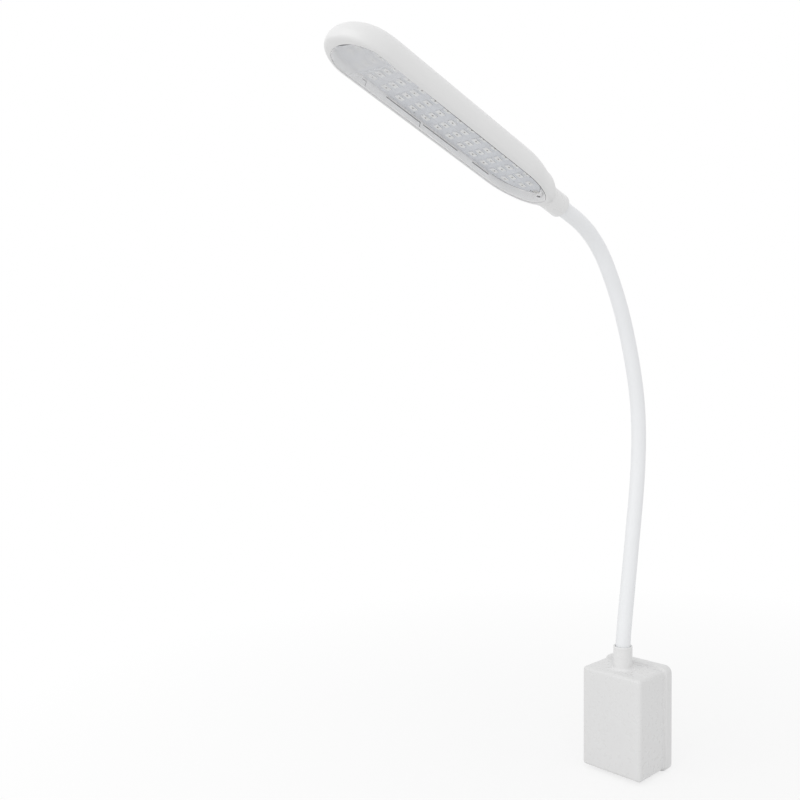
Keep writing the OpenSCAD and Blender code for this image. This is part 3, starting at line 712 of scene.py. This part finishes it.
class GROWLAMP_OT_led_tray(bpy.types.Operator):
    """Makes the dish behind the window, dark strips of painted shadow for the slits in its walls, and the
    outlet for the wires
    """

    bl_idname = "growlamp.led_tray"
    bl_label = "LED Tray"

    # Painted shadow in the slits along the dish's walls: lengths of the dark strips, and where a strip turns
    # up the wall
    SLIT_SHADOWS = ((72.5, 88.5), (102.5, 133.3), (135.6, 163.6), (179.0, 182.1))
    RISES = (135.7, 179.2)

    def execute(self, context):
        s = lengths(context)
        made = finishes(context)
        place = head_matrix(s)
        back, floor, top = s.tray_y + 1.6, s.tray_y, s.window_y + s.window_thickness + 0.1
        edge = 0.12
        levels = [(0.04, back), (0.04, top + edge), (0.04 + edge, top), (s.dish_inset - edge, top),
                  (s.dish_inset, top + edge), (s.dish_inset, floor - 0.3), (s.dish_inset + 0.3, floor)]
        points = [(x, y, z) for inset, y in levels for x, z in window_loop(s, inset)]
        faces = capped(len(points) // len(levels), len(levels))
        piece = add_piece("led_dish", points, faces, made["tray_plastic_glow"], place, 40)
        settle(piece, "head", "tray", "led_tray")
        wall, foot, half = s.window_half - s.dish_inset, s.board_y - 1.0, 0.3
        cuts = []
        for side in (-1, 1):
            near, far = sorted((side * (wall - 0.05), side * (wall + 0.1)))
            for low, high in self.SLIT_SHADOWS:
                cuts.append(block((near, foot - half, low), (far, foot + half, high)))
            for z in self.RISES:
                cuts.append(block((near, foot - 3.1, z - 0.2), (far, foot, z + 0.2)))
        # Painted shadow: dark blocks stand for the shade in the slits
        piece = add_piece("dish_slits", *joined(*cuts), made["painted_gap_shade"], place, 30)
        settle(piece, "head", "tray")
        turn = Matrix.Translation((0, 0, s.window_end + 2.7)) @ Matrix.Rotation(-math.pi / 2, 4, "X")
        rise, bore, outer, round_edge = floor - 3.7, 1.5, 1.95, 0.15
        points, faces = revolve([(bore, floor), (bore, rise + round_edge), (bore + round_edge, rise),
                                 (outer - round_edge, rise), (outer, rise + round_edge), (outer, floor)], 32)
        piece = add_piece("wire_outlet", points, faces, made["tray_plastic_glow"], place @ turn, 40)
        settle(piece, "head", "tray")
        # Painted shadow: a dark plug in the outlet's bore stands for the shade inside the hole
        hole = rod(bore + 0.02, rise + 0.25, floor, turn, 32)
        piece = add_piece("outlet_hole", *hole, made["painted_gap_shade"], place, 30)
        settle(piece, "head", "tray")
        return {"FINISHED"}


def board_arch(s, inset=0.0, steps=24):
    """Right side of the LED board's pointed neck end, from its point upward, in X and Z."""
    arch, drop = 30.0, s.board_half - 2
    radius = (arch ** 2 + drop ** 2) / (2 * drop)
    spread = math.asin(arch / radius)
    turns = [spread * (1 - i / steps) for i in range(steps + 1)]
    return [(s.board_half - radius + (radius - inset) * math.cos(a),
             s.board_end + arch - (radius - inset) * math.sin(a)) for a in turns]


def board_loop(s):
    """Outline of the LED board in X and Z: pointed arch at the neck end, round tip."""
    right = board_arch(s)
    nose = arc(0, s.board_tip - s.board_half, s.board_half, 5, 175, 34)
    return right + nose + [(-x, z) for x, z in reversed(right)]


class GROWLAMP_OT_led_board(bpy.types.Operator):
    """Makes the LED board, with painted shadow as a dark line along its pointed end and as dark discs in its
    small holes
    """

    bl_idname = "growlamp.led_board"
    bl_label = "LED Board"

    # Small holes of the board, drawn as dark discs of painted shade: across, along, radius
    HOLES = ((-13.2, 144.0, 0.45), (-13.0, 195.5, 0.4), (12.2, 73.5, 0.4), (-2.9, 44.4, 0.6),
             (-2.3, 43.0, 0.6), (-6.8, 57.5, 0.4), (8.4, 59.0, 0.4))

    def execute(self, context):
        s = lengths(context)
        made = finishes(context)
        place = head_matrix(s)
        loop, thickness = [(x, -z) for x, z in reversed(board_loop(s))], 1.2
        points, faces = prism(loop, 0, thickness, 0.02, 0.12, 2)
        points = [(x, s.board_y + thickness - level, -z) for x, z, level in points]
        piece = add_piece("led_board_face", points, faces, made["led_board_mask"], place, 30)
        settle(piece, "head", "led_board", "led_board")
        # Painted shadow: a dark rail just inside each edge of the pointed end, where the board's edge casts
        # shade, and dark discs in the holes
        shadow_marks = []
        outer, inner = board_arch(s, 0.12), board_arch(s, 0.5)
        back, front = s.board_y + 0.05, s.board_y - 0.02
        for side in (-1, 1):
            rail = []
            for (x0, z0), (x1, z1) in zip(outer, inner):
                rail += [(side * x0, back, z0), (side * x1, back, z1),
                         (side * x1, front, z1), (side * x0, front, z0)]
            shadow_marks.append((rail, capped(4, len(outer))))
        turn = Matrix.Rotation(math.pi / 2, 4, "X")
        for x, z, r in self.HOLES:
            shadow_marks.append(rod(r, -0.02, 0.03, Matrix.Translation((x, s.board_y, z)) @ turn, 16))
        piece = add_piece("board_marks", *joined(*shadow_marks), made["painted_gap_shade"], place, 30)
        settle(piece, "head", "led_board")
        return {"FINISHED"}


# Repeats made by Geometry Nodes

def grid_tree(name):
    """Tree that puts a shape on a grid, leaves out the corners of its end rows and moves it into place."""
    tree = bpy.data.node_groups.new(name, "GeometryNodeTree")
    face = tree.interface
    for label, kind in (("Shape", "Object"), ("Columns", "Int"), ("Rows", "Int"), ("Column Pitch", "Float"),
                        ("Row Pitch", "Float"), ("Short Row Half", "Float"), ("Place", "Vector"),
                        ("Turn", "Vector"), ("Finish", "Material")):
        face.new_socket(label, in_out="INPUT", socket_type=f"NodeSocket{kind}")
    face.new_socket("Geometry", in_out="OUTPUT", socket_type="NodeSocketGeometry")
    given = add_node(tree, "NodeGroupInput")

    def span(count, pitch):
        return calculated(tree, "MULTIPLY", calculated(tree, "SUBTRACT", given[count], 1.0), given[pitch])

    def past(value, limit):
        return calculated(tree, "GREATER_THAN", calculated(tree, "ABSOLUTE", value), limit)

    depth = span("Rows", "Row Pitch")
    grid = add_node(tree, "GeometryNodeMeshGrid", {
        "Size X": span("Columns", "Column Pitch"), "Size Y": depth,
        "Vertices X": given["Columns"], "Vertices Y": given["Rows"]})["Mesh"]
    where = add_node(tree, "ShaderNodeSeparateXYZ", {0: add_node(tree, "GeometryNodeInputPosition")[0]})
    at_end = past(where["Y"], calculated(tree, "MULTIPLY", depth, 0.499))
    corners = calculated(tree, "MULTIPLY", at_end, past(where["X"], given["Short Row Half"]))
    spots = add_node(tree, "GeometryNodeDeleteGeometry", {"Geometry": grid, "Selection": corners})["Geometry"]
    shape = add_node(tree, "GeometryNodeObjectInfo", {"Object": given["Shape"]})["Geometry"]
    copies = add_node(tree, "GeometryNodeInstanceOnPoints", {"Points": spots, "Instance": shape})["Instances"]
    placed = add_node(tree, "GeometryNodeTransform", {
        "Geometry": copies, "Translation": given["Place"], "Rotation": given["Turn"]})["Geometry"]
    real = add_node(tree, "GeometryNodeRealizeInstances", {"Geometry": placed})["Geometry"]
    coated = add_node(tree, "GeometryNodeSetMaterial", {"Geometry": real, "Material": given["Finish"]})
    add_node(tree, "NodeGroupOutput", {"Geometry": coated["Geometry"]})
    return tree


def repeated(name, part, tree, values, sharp=40):
    """Runs a grid tree on a shape and gives the copies as one plain mesh object."""
    shape = add_piece(f"{name}_shape", *part, None, None, sharp)
    carrier = bpy.data.objects.new(f"{name}_carrier", bpy.data.meshes.new(f"{name}_carrier"))
    bpy.context.scene.collection.objects.link(carrier)
    modifier = carrier.modifiers.new("grid", "NODES")
    modifier.node_group = tree
    values = dict(values, Shape=shape)
    for item in tree.interface.items_tree:
        if item.in_out == "INPUT":
            modifier[item.identifier] = values[item.name]
    carrier.update_tag()
    mesh = evaluated(carrier)
    discard(carrier, shape)
    if not mesh.polygons:
        raise RuntimeError(f"{name}: the grid gave no faces")
    return dress(name, mesh, None, sharp, False)


def led_parts(s):
    """Package with a round well, phosphor in the well and the dark die, each as points and faces."""
    wide, long, h = s.led_width / 2, s.led_length / 2, s.led_height
    steps, well, depth, die_half = 16, 1.25, 0.3, 0.42
    outer, ring = [], []
    for i in range(steps):
        a = 2 * math.pi * (i + 0.5) / steps
        k = 1 / max(abs(math.cos(a)) / wide, abs(math.sin(a)) / long)
        outer.append((k * math.cos(a), k * math.sin(a)))
        ring.append((well * math.cos(a), well * math.sin(a)))
    loops = [[(x, y, 0) for x, y in outer], [(x, y, h - 0.08) for x, y in outer],
             [(x * 0.95, y * 0.965, h) for x, y in outer], [(x, y, h) for x, y in ring],
             [(x * 0.86, y * 0.86, h - depth) for x, y in ring]]
    package = [p for loop in loops for p in loop], capped(steps, len(loops))
    phosphor = rod(well * 0.95, h - depth + 0.02, h - 0.1, Matrix.Identity(4), steps)
    die = block((-die_half, -die_half, h - 0.12), (die_half, die_half, h - 0.04))
    return package, phosphor, die


class GROWLAMP_OT_leds(bpy.types.Operator):
    """Sets the LEDs on their board with Geometry Nodes"""

    bl_idname = "growlamp.leds"
    bl_label = "LEDs"

    def execute(self, context):
        s = lengths(context)
        made = finishes(context)
        tree = grid_tree("led_grid")
        place = head_matrix(s) @ Vector((0, s.board_y, (s.led_first + s.led_last) / 2))
        values = {"Columns": 4, "Rows": s.led_rows, "Column Pitch": s.led_column_pitch * MM,
                  "Row Pitch": row_pitch(s) * MM, "Short Row Half": s.led_column_pitch * MM,
                  "Place": place * MM, "Turn": (s.frames[-1][2] + math.pi / 2, 0.0, 0.0)}
        for name, part, coat in zip(("led_packages", "led_phosphors", "led_dies"), led_parts(s),
                                    ("led_package", "led_phosphor", "led_die")):
            piece = repeated(name, part, tree, dict(values, Finish=made[coat]), 30)
            settle(piece, "head", "led_package", *(["led_chips"] if name == "led_packages" else []))
        return {"FINISHED"}


class GROWLAMP_OT_sleeve(bpy.types.Operator):
    """Makes the rounded sleeve between the gooseneck and the head"""

    bl_idname = "growlamp.sleeve"
    bl_label = "Sleeve"

    def execute(self, context):
        s = lengths(context)
        r, bore, low, high = s.sleeve_radius, s.collar_bore, s.sleeve_start, s.housing
        profile = [(bore, low + 0.5), (bore + 0.4, low)] + arc(r - 1.9, low + 1.9, 1.9, -90, 0, 8)
        profile += [(r, high - 0.55)] + arc(r - 0.25, high - 0.3, 0.25, 0, 90, 3)
        profile += [(6.3, high - 0.05), (6.3, low + 5.4), (bore, low + 5.4)]
        # Painted light: the sleeve takes the lighter copy of the shell
        coat = finishes(context)["lit_collar_shell"]
        piece = add_piece("head_sleeve", *revolve(profile), coat, head_matrix(s), 50)
        settle(piece, "head", "white_shell", "neck_sleeve")
        return {"FINISHED"}


# Gooseneck

def point_on_neck(s, distance):
    """Frame (y, z, heading) at a distance along the gooseneck from the start of its first stretch."""
    for k in range(JOINTS):
        stretch = s.first_length if k == 0 else s.link_length
        if distance <= stretch:
            return advance(s.frames[k], distance, s.turns[k] * distance / stretch)
        distance -= stretch
    return advance(s.frames[JOINTS], distance, 0.0)


class GROWLAMP_OT_gooseneck(bpy.types.Operator):
    """Makes the gooseneck's skin: a stub at each end and one piece over each joint"""

    bl_idname = "growlamp.gooseneck"
    bl_label = "Gooseneck"

    def execute(self, context):
        s = lengths(context)
        coat = finishes(context)["neck_skin"]
        joints = [s.first_length + k * s.link_length for k in range(JOINTS)]
        foot = s.top + 2 - s.frames[0][1]
        cuts = [joints[0] / 2] + [(a + b) / 2 for a, b in zip(joints, joints[1:])]
        cuts.append(joints[-1] + s.sleeve_start / 2)
        spans = list(zip([foot] + cuts, cuts + [joints[-1] + s.sleeve_start + 5]))
        for k, (start, stop) in enumerate(spans):
            piece = self.stretch(s, k, start, stop, coat)
            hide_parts(f"neck_sheath_{k}" if k <= JOINTS else "neck_sheath_8")
            if k in (0, JOINTS + 1):
                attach(piece, NECK_BODIES[0 if k == 0 else -1])
                continue
            reach = min(joints[k - 1] - start, stop - joints[k - 1])
            ends = [point_on_neck(s, joints[k - 1] + d) for d in (-reach, reach)]
            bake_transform(piece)
        return {"FINISHED"}

    def stretch(self, s, k, start, stop, coat):
        """One piece of the skin, a round tube between two distances along the gooseneck."""
        sides, rings = 40, max(3, round((stop - start) / 2.4))
        points = []
        for i in range(rings + 1):
            y, z, heading = point_on_neck(s, start + (stop - start) * i / rings)
            for j in range(sides):
                a = 2 * math.pi * j / sides
                x, across = s.tube_radius * math.cos(a), s.tube_radius * math.sin(a)
                points.append((x, y + across * math.cos(heading), z + across * math.sin(heading)))
        return add_piece(f"neck_skin_{k}", points, capped(sides, rings + 1), coat)


# Base

class GROWLAMP_OT_base_shell(bpy.types.Operator):
    """Makes the base's front shell with its rounded edges and the collar for the gooseneck"""

    bl_idname = "growlamp.base_shell"
    bl_label = "Base Shell"

    def execute(self, context):
        s = lengths(context)
        outline = rounded_rectangle(s.base_width, s.base_height, s.base_edge, 6)
        points, faces = prism(outline, s.cover_depth, s.base_front, 0.0, s.base_edge, 6)
        outer = [(x, -level, z) for x, z, level in points], faces
        wall = s.base_wall
        cavity = block((-s.side + wall, -s.base_front + wall, -s.top + wall),
                       (s.side - wall, -s.cover_depth + 3, s.top - wall))
        deep, high = s.switch_depth / 2 + 0.15, s.switch_height / 2 + 0.15
        opening = block((-s.side - 3, s.middle_y - deep, s.switch_level - high),
                        (-s.side + 5, s.middle_y + deep, s.switch_level + high))
        made = finishes(context)
        shell = carved("base_shell", outer, [cavity, opening])
        # Painted shade: the base takes a darker copy of the shell
        piece = add_piece("base_shell", *shell, made["base_shell"], None, 50)
        settle(piece, "base", "white_shell", "base_front_shell")
        r, bore, top = s.collar_radius, s.collar_bore, s.top + s.collar_height
        flare, bead = 2.2, 0.12  # rounding at the collar's foot, width of the bead at its upper end
        profile = [(bore, s.top - 1), (r + flare, s.top - 1), (r + flare, s.top - 0.02)]
        profile += arc(r + flare, s.top + flare, flare, -90, -180, 6)
        profile += [(r, top - 1.6), (r + bead, top - 1.2)] + arc(r + bead - 0.5, top - 0.5, 0.5, 0, 90, 4)
        profile += [(bore + 0.45, top), (bore, top - 0.5)]
        place = Matrix.Translation((0, s.middle_y, 0))
        collar = add_piece("base_collar", *revolve(profile), made["lit_collar_shell"], place, 50)
        settle(collar, "base", "white_shell")
        return {"FINISHED"}


class GROWLAMP_OT_rear_cover(bpy.types.Operator):
    """Makes the rear cover with its pocket for the shell, screw recesses and board posts"""

    bl_idname = "growlamp.rear_cover"
    bl_label = "Rear Cover"

    def execute(self, context):
        s = lengths(context)
        step, front = 2 * s.cover_step, s.cover_depth + s.cover_lip
        outline = rounded_rectangle(s.base_width + step, s.base_height + step, s.cover_corner, 10)
        points, faces = prism(outline, 0, front, 0.5, 1.6, 6)
        slab = [(x, -level, z) for x, z, level in points], faces
        outline = rounded_rectangle(s.base_width + 0.02, s.base_height + 0.02, s.base_edge)
        points, faces = prism(outline, s.cover_depth, front + 2, 0.0, 0.0, 1)
        cuts = [([(x, -level, z) for x, z, level in points], faces)]
        posts = []
        turn = Matrix.Rotation(-math.pi / 2, 4, "X")
        for i in (-1, 1):
            for j in (-1, 1):
                at = Matrix.Translation((i * screw_x(s), 0, j * screw_z(s))) @ turn
                cuts.append(rod(3.0, -2.4, 1, at, 32))
                at = Matrix.Translation((i * (s.side - 11), 0, -7 + j * 19)) @ turn
                posts += [rod(2.5, -14, -5.9, at, 24), rod(1.2, -16.6, -13.9, at, 16)]
        made = finishes(context)
        cover = joined(carved("rear_cover", slab, cuts), *posts)
        piece = add_piece("rear_cover", *cover, made["shaded_cover_shell"], None, 40, False)
        self.fillet(s, front, made["base_shell"])
        settle(piece, "base", "cover_plastic", "base_rear_cover")
        return {"FINISHED"}

    def fillet(self, s, front, coat):
        """Hollow rounding in the corner between the cover's lip and the front shell."""
        r, sunk = 0.9, 0.3
        profile = arc(r + 0.02, -front - r, r, 180, 90, 6)
        profile += [(r, -front + sunk), (-0.1, -front + sunk), (-0.1, -front - r)]
        points = []
        for out, level in profile:
            loop = rounded_rectangle(s.base_width + 2 * out, s.base_height + 2 * out, s.base_edge + out)
            points += [(x, level, z) for x, z in loop]
        faces = bands(len(loop), len(profile), True)
        settle(add_piece("cover_fillet", points, faces, coat), "base", "cover_plastic")


SCREW_INSET = 2.6  # distance of the cover screws from the shell's inner walls


def screw_x(s):
    """Distance of the cover screws from the middle, across."""
    return s.side - s.base_wall - SCREW_INSET


def screw_z(s):
    """Distance of the cover screws from the middle, upward."""
    return s.top - s.base_wall - SCREW_INSET


class GROWLAMP_OT_cover_screws(bpy.types.Operator):
    """Sets the four cross-head screws of the rear cover with Geometry Nodes"""

    bl_idname = "growlamp.cover_screws"
    bl_label = "Cover Screws"

    def execute(self, context):
        s = lengths(context)
        shank, head, dome = 1.5, 2.85, 0.9
        profile = [(1.0, -18.2), (shank, -17), (shank, -2.0), (head, -2.0), (head, -dome)]
        profile += [(head * math.cos(math.radians(a)), -dome + dome * math.sin(math.radians(a)))
                    for a in (25, 50, 75)]
        steps, points, faces = 32, [], []
        for i in range(steps):
            a = 2 * math.pi * i / steps
            points += [(r * math.cos(a), r * math.sin(a), z) for r, z in profile]
        n = len(profile)
        low, high = len(points), len(points) + 1
        points += [(0, 0, -18.6), (0, 0, 0)]
        for i in range(steps):
            here, there = i * n, (i + 1) % steps * n
            faces += [(here + j, there + j, there + j + 1, here + j + 1) for j in range(n - 1)]
            faces += [(low, there, here), (here + n - 1, there + n - 1, high)]
        long, thin = 1.7, 0.35
        slots = [block((-x, -y, -0.9), (x, y, 1)) for x, y in ((long, thin), (thin, long))]
        part = carved("screw", (points, faces), slots)
        values = {"Columns": 2, "Rows": 2, "Column Pitch": 2 * screw_x(s) * MM,
                  "Row Pitch": 2 * screw_z(s) * MM, "Short Row Half": 1.0,
                  "Place": Vector((0, -0.4 * MM, 0)), "Turn": (-math.pi / 2, 0.0, 0.0),
                  "Finish": finishes(context)["zinc_steel"]}
        piece = repeated("cover_screw_set", part, grid_tree("screw_grid"), values, 30)
        settle(piece, "base", "screw_steel", "cover_screws")
        return {"FINISHED"}


class GROWLAMP_OT_switch(bpy.types.Operator):
    """Makes the rocker switch on the base's side"""

    bl_idname = "growlamp.switch"
    bl_label = "Rocker Switch"

    def execute(self, context):
        s = lengths(context)
        made = finishes(context)
        at = Matrix.Translation((-s.side, s.middle_y, s.switch_level))
        reach = math.hypot(s.rocker_half, s.rocker_top)
        wall, gap, dip_depth = 0.9, 0.3, 3.0  # walls beside the rocker, its gaps, depth below its pivot
        open_half, open_d = reach + gap + 0.03, s.switch_depth - 2 * wall
        outline = rounded_rectangle(s.bezel_depth, s.bezel_height, 1.2, 5)
        points, faces = prism(outline, 0, s.bezel_out, 0.1, 0.7, 4)
        bezel = [(-level, y, z) for y, z, level in points], faces
        hole = block((-6, -open_d / 2, -open_half), (s.switch_in - 3, open_d / 2, open_half))
        shell = block((-0.05, -s.switch_depth / 2, -s.switch_height / 2),
                      (s.switch_in, s.switch_depth / 2, s.switch_height / 2))
        parts = joined(carved("bezel", bezel, [hole]), carved("body", shell, [hole]))
        piece = add_piece("switch_bezel", *parts, made["black_plastic"], at, 40)
        settle(piece, "base", "switch_black", "switch_body")
        width, hollow = open_d - 2 * gap, 0.8
        outline = []
        for i in range(13):
            u = 1 - i / 6
            outline.append((s.rocker_half * u, s.rocker_top - hollow * (1 - u ** 2)))
        lift = math.degrees(math.atan2(s.rocker_top, s.rocker_half))
        dip = math.degrees(math.asin(dip_depth / reach))
        outline += arc(0, 0, reach, 180 - lift, 180 + dip, 8)[1:] + arc(0, 0, reach, -dip, lift, 8)[:-1]
        points, faces = prism(outline, -width / 2, width / 2, 0.45, 0.45, 3)
        rocker = [(-out, across, up) for up, out, across in points], faces
        pivot = Matrix.Translation((-s.side - 0.5, s.middle_y, s.switch_level))
        tilt = pivot @ Matrix.Rotation(s.rocker_tilt, 4, "Y")
        piece = add_piece("rocker_cap", *rocker, made["rocker_plastic"], tilt, 30)
        settle(piece, "rocker", "rocker_black", "rocker")
        return {"FINISHED"}


class GROWLAMP_OT_inner_parts(bpy.types.Operator):
    """Gives the solid model's own parts their finishes"""

    bl_idname = "growlamp.inner_parts"
    bl_label = "Inner Parts"

    # Finish of each part, by the part's name or by the name that its numbered sections share
    COATS = {
        "plug_pins": "plated_brass", "driver_board": "green_board", "transformer": "ferrite",
        "capacitors": "can_sleeve", "rectifier": "chip_package", "choke": "copper_wire",
        "fuse": "fuse_ceramic", "driver_chip": "chip_package", "switch_terminals": "contact_brass",
        "rocker_plunger": "plunger_plastic", "contact_lever": "contact_brass", "mains_wires": "mains_skin",
        "output_wires": "wire_skin", "lower_ferrule": "zinc_steel", "lower_nut": "zinc_steel",
        "upper_ferrule": "zinc_steel", "neck_screw": "zinc_steel", "tray_screws": "zinc_steel",
        "thermal_pad": "slate_pad", "head_wires": "wire_skin", "neck_core": "core_steel",
        "neck_wires": "wire_skin",
    }

    def execute(self, context):
        made = finishes(context)
        for name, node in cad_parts.items():
            if node.hide_render:
                continue
            coat = self.COATS.get(name.rstrip("0123456789").rstrip("_"))
            if coat is None:
                raise RuntimeError(f"no finish for the part {name}")
            for slot in node.material_slots:
                slot.material = made[coat]
        return {"FINISHED"}


class GROWLAMP_OT_stage(bpy.types.Operator):
    """Sets up the pale floor, the soft studio light and the camera"""

    bl_idname = "growlamp.stage"
    bl_label = "Stage"

    # Soft lights: name, place, size in metres, power in watts
    LIGHTS = (("key", (0.7, -1.35, 1.6), 1.6, 9.5), ("fill", (-0.7, -1.7, 0.8), 1.2, 3.2))
    LIGHT_AIM = (0, -0.1, 0.2)
    CAMERA_PLACE = (0.3840, -0.5718, 0.2550)
    CAMERA_DIP, CAMERA_TURN = 0.97, 41.8  # degrees below the level and round to the left
    CAMERA_LENS, CAMERA_SHIFT = 39.2, -0.15
    FLOOR_HALF, FLOOR_GAP = 6, 0.0006  # half width of the floor and its gap under the lamp

    def execute(self, context):
        scene = context.scene
        scene.view_settings.view_transform = "Standard"
        low, far = CAD_BOX[0].z - self.FLOOR_GAP, self.FLOOR_HALF
        mesh = bpy.data.meshes.new("floor")
        corners = [(x, y, low) for x, y in ((-far, -far), (far, -far), (far, far), (-far, far))]
        mesh.from_pydata(corners, [], [(0, 1, 2, 3)])
        floor = bpy.data.objects.new("floor", mesh)
        scene.collection.objects.link(floor)
        mesh.materials.append(self.floor_finish())
        self.world(scene)
        for name, place, size, power in self.LIGHTS:
            lamp = bpy.data.lights.new(name, "AREA")
            lamp.size = size
            lamp.energy = power
            holder = bpy.data.objects.new(name, lamp)
            holder.location = place
            aim = Vector(self.LIGHT_AIM) - holder.location
            holder.rotation_euler = aim.to_track_quat("-Z", "Y").to_euler()
            scene.collection.objects.link(holder)
        view = bpy.data.cameras.new("photo_view")
        view.sensor_width = 36
        view.lens = self.CAMERA_LENS
        view.shift_x = self.CAMERA_SHIFT
        camera = bpy.data.objects.new("photo_view", view)
        camera.location = self.CAMERA_PLACE
        camera.rotation_euler = (math.radians(90 - self.CAMERA_DIP), 0, math.radians(self.CAMERA_TURN))
        scene.collection.objects.link(camera)
        scene.camera = camera
        return {"FINISHED"}

    def seen(self, tree):
        """1 where a ray comes from the camera, a mirror or a clear piece."""
        rays = add_node(tree, "ShaderNodeLightPath")
        mirrored = calculated(tree, "MAXIMUM", rays["Is Glossy Ray"], rays["Is Transmission Ray"])
        return calculated(tree, "MAXIMUM", rays["Is Camera Ray"], mirrored)

    def floor_finish(self):
        """Pale floor that keeps a soft shadow near the lamp and turns white away from it."""
        material = bpy.data.materials.new("pale_floor")
        material.use_nodes = True
        tree = material.node_tree
        tree.nodes.clear()
        seen = self.seen(tree)
        matt = add_node(tree, "ShaderNodeBsdfDiffuse", {"Color": (0.9, 0.9, 0.9, 1)})[0]
        glow = add_node(tree, "ShaderNodeEmission", {"Color": (1, 1, 1, 1), "Strength": seen})[0]
        place = object_coordinates(tree)
        away = add_node(tree, "ShaderNodeVectorMath", {0: place}, operation="LENGTH")["Value"]
        spread = add_node(tree, "ShaderNodeMapRange", {"Value": away, "From Min": 0.1, "From Max": 0.6,
                                                       "To Min": 0.75, "To Max": 1.0})["Result"]
        share = calculated(tree, "MULTIPLY", spread, seen)
        both = add_node(tree, "ShaderNodeMixShader", {"Fac": share, 1: matt, 2: glow})[0]
        add_node(tree, "ShaderNodeOutputMaterial", {"Surface": both})
        return material

    def world(self, scene):
        """Even white surroundings: white where they are seen, softer as light."""
        world = bpy.data.worlds.new("studio")
        world.use_nodes = True
        scene.world = world
        tree = world.node_tree
        level = add_node(tree, "ShaderNodeMapRange", {"Value": self.seen(tree),
                                                      "To Min": 0.735, "To Max": 1.0})
        feed(tree, tree.nodes["Background"], {"Color": (1, 1, 1, 1), "Strength": level["Result"]})


OPERATORS = (GROWLAMP_OT_base_shell, GROWLAMP_OT_rear_cover, GROWLAMP_OT_cover_screws, GROWLAMP_OT_switch,
             GROWLAMP_OT_gooseneck, GROWLAMP_OT_sleeve, GROWLAMP_OT_head_shell, GROWLAMP_OT_led_tray,
             GROWLAMP_OT_led_board, GROWLAMP_OT_leds, GROWLAMP_OT_window, GROWLAMP_OT_inner_parts,
             GROWLAMP_OT_stage)


class GROWLAMP_PT_panel(bpy.types.Panel):
    """Lists the lamp's pieces, sizes and colours"""

    bl_idname = "GROWLAMP_PT_panel"
    bl_label = "Grow Lamp"
    bl_space_type = "VIEW_3D"
    bl_region_type = "UI"
    bl_category = "Grow Lamp"

    def draw(self, context):
        for operator in OPERATORS:
            self.layout.operator(operator.bl_idname)
        for group in (context.scene.grow_lamp_sizes, context.scene.grow_lamp_colours):
            for name in group.bl_rna.properties.keys():
                if name not in ("rna_type", "name"):
                    self.layout.prop(group, name)


CLASSES = (GrowLampSizes, GrowLampColours) + OPERATORS + (GROWLAMP_PT_panel,)


def register():
    for cls in CLASSES:
        bpy.utils.register_class(cls)
    bpy.types.Scene.grow_lamp_sizes = PointerProperty(type=GrowLampSizes)
    bpy.types.Scene.grow_lamp_colours = PointerProperty(type=GrowLampColours)


def unregister():
    del bpy.types.Scene.grow_lamp_colours
    del bpy.types.Scene.grow_lamp_sizes
    for cls in reversed(CLASSES):
        bpy.utils.unregister_class(cls)


def main():
    register()
    for operator in OPERATORS:
        group, name = operator.bl_idname.split(".")
        getattr(getattr(bpy.ops, group), name)()


if __name__ == "__main__":
    main()
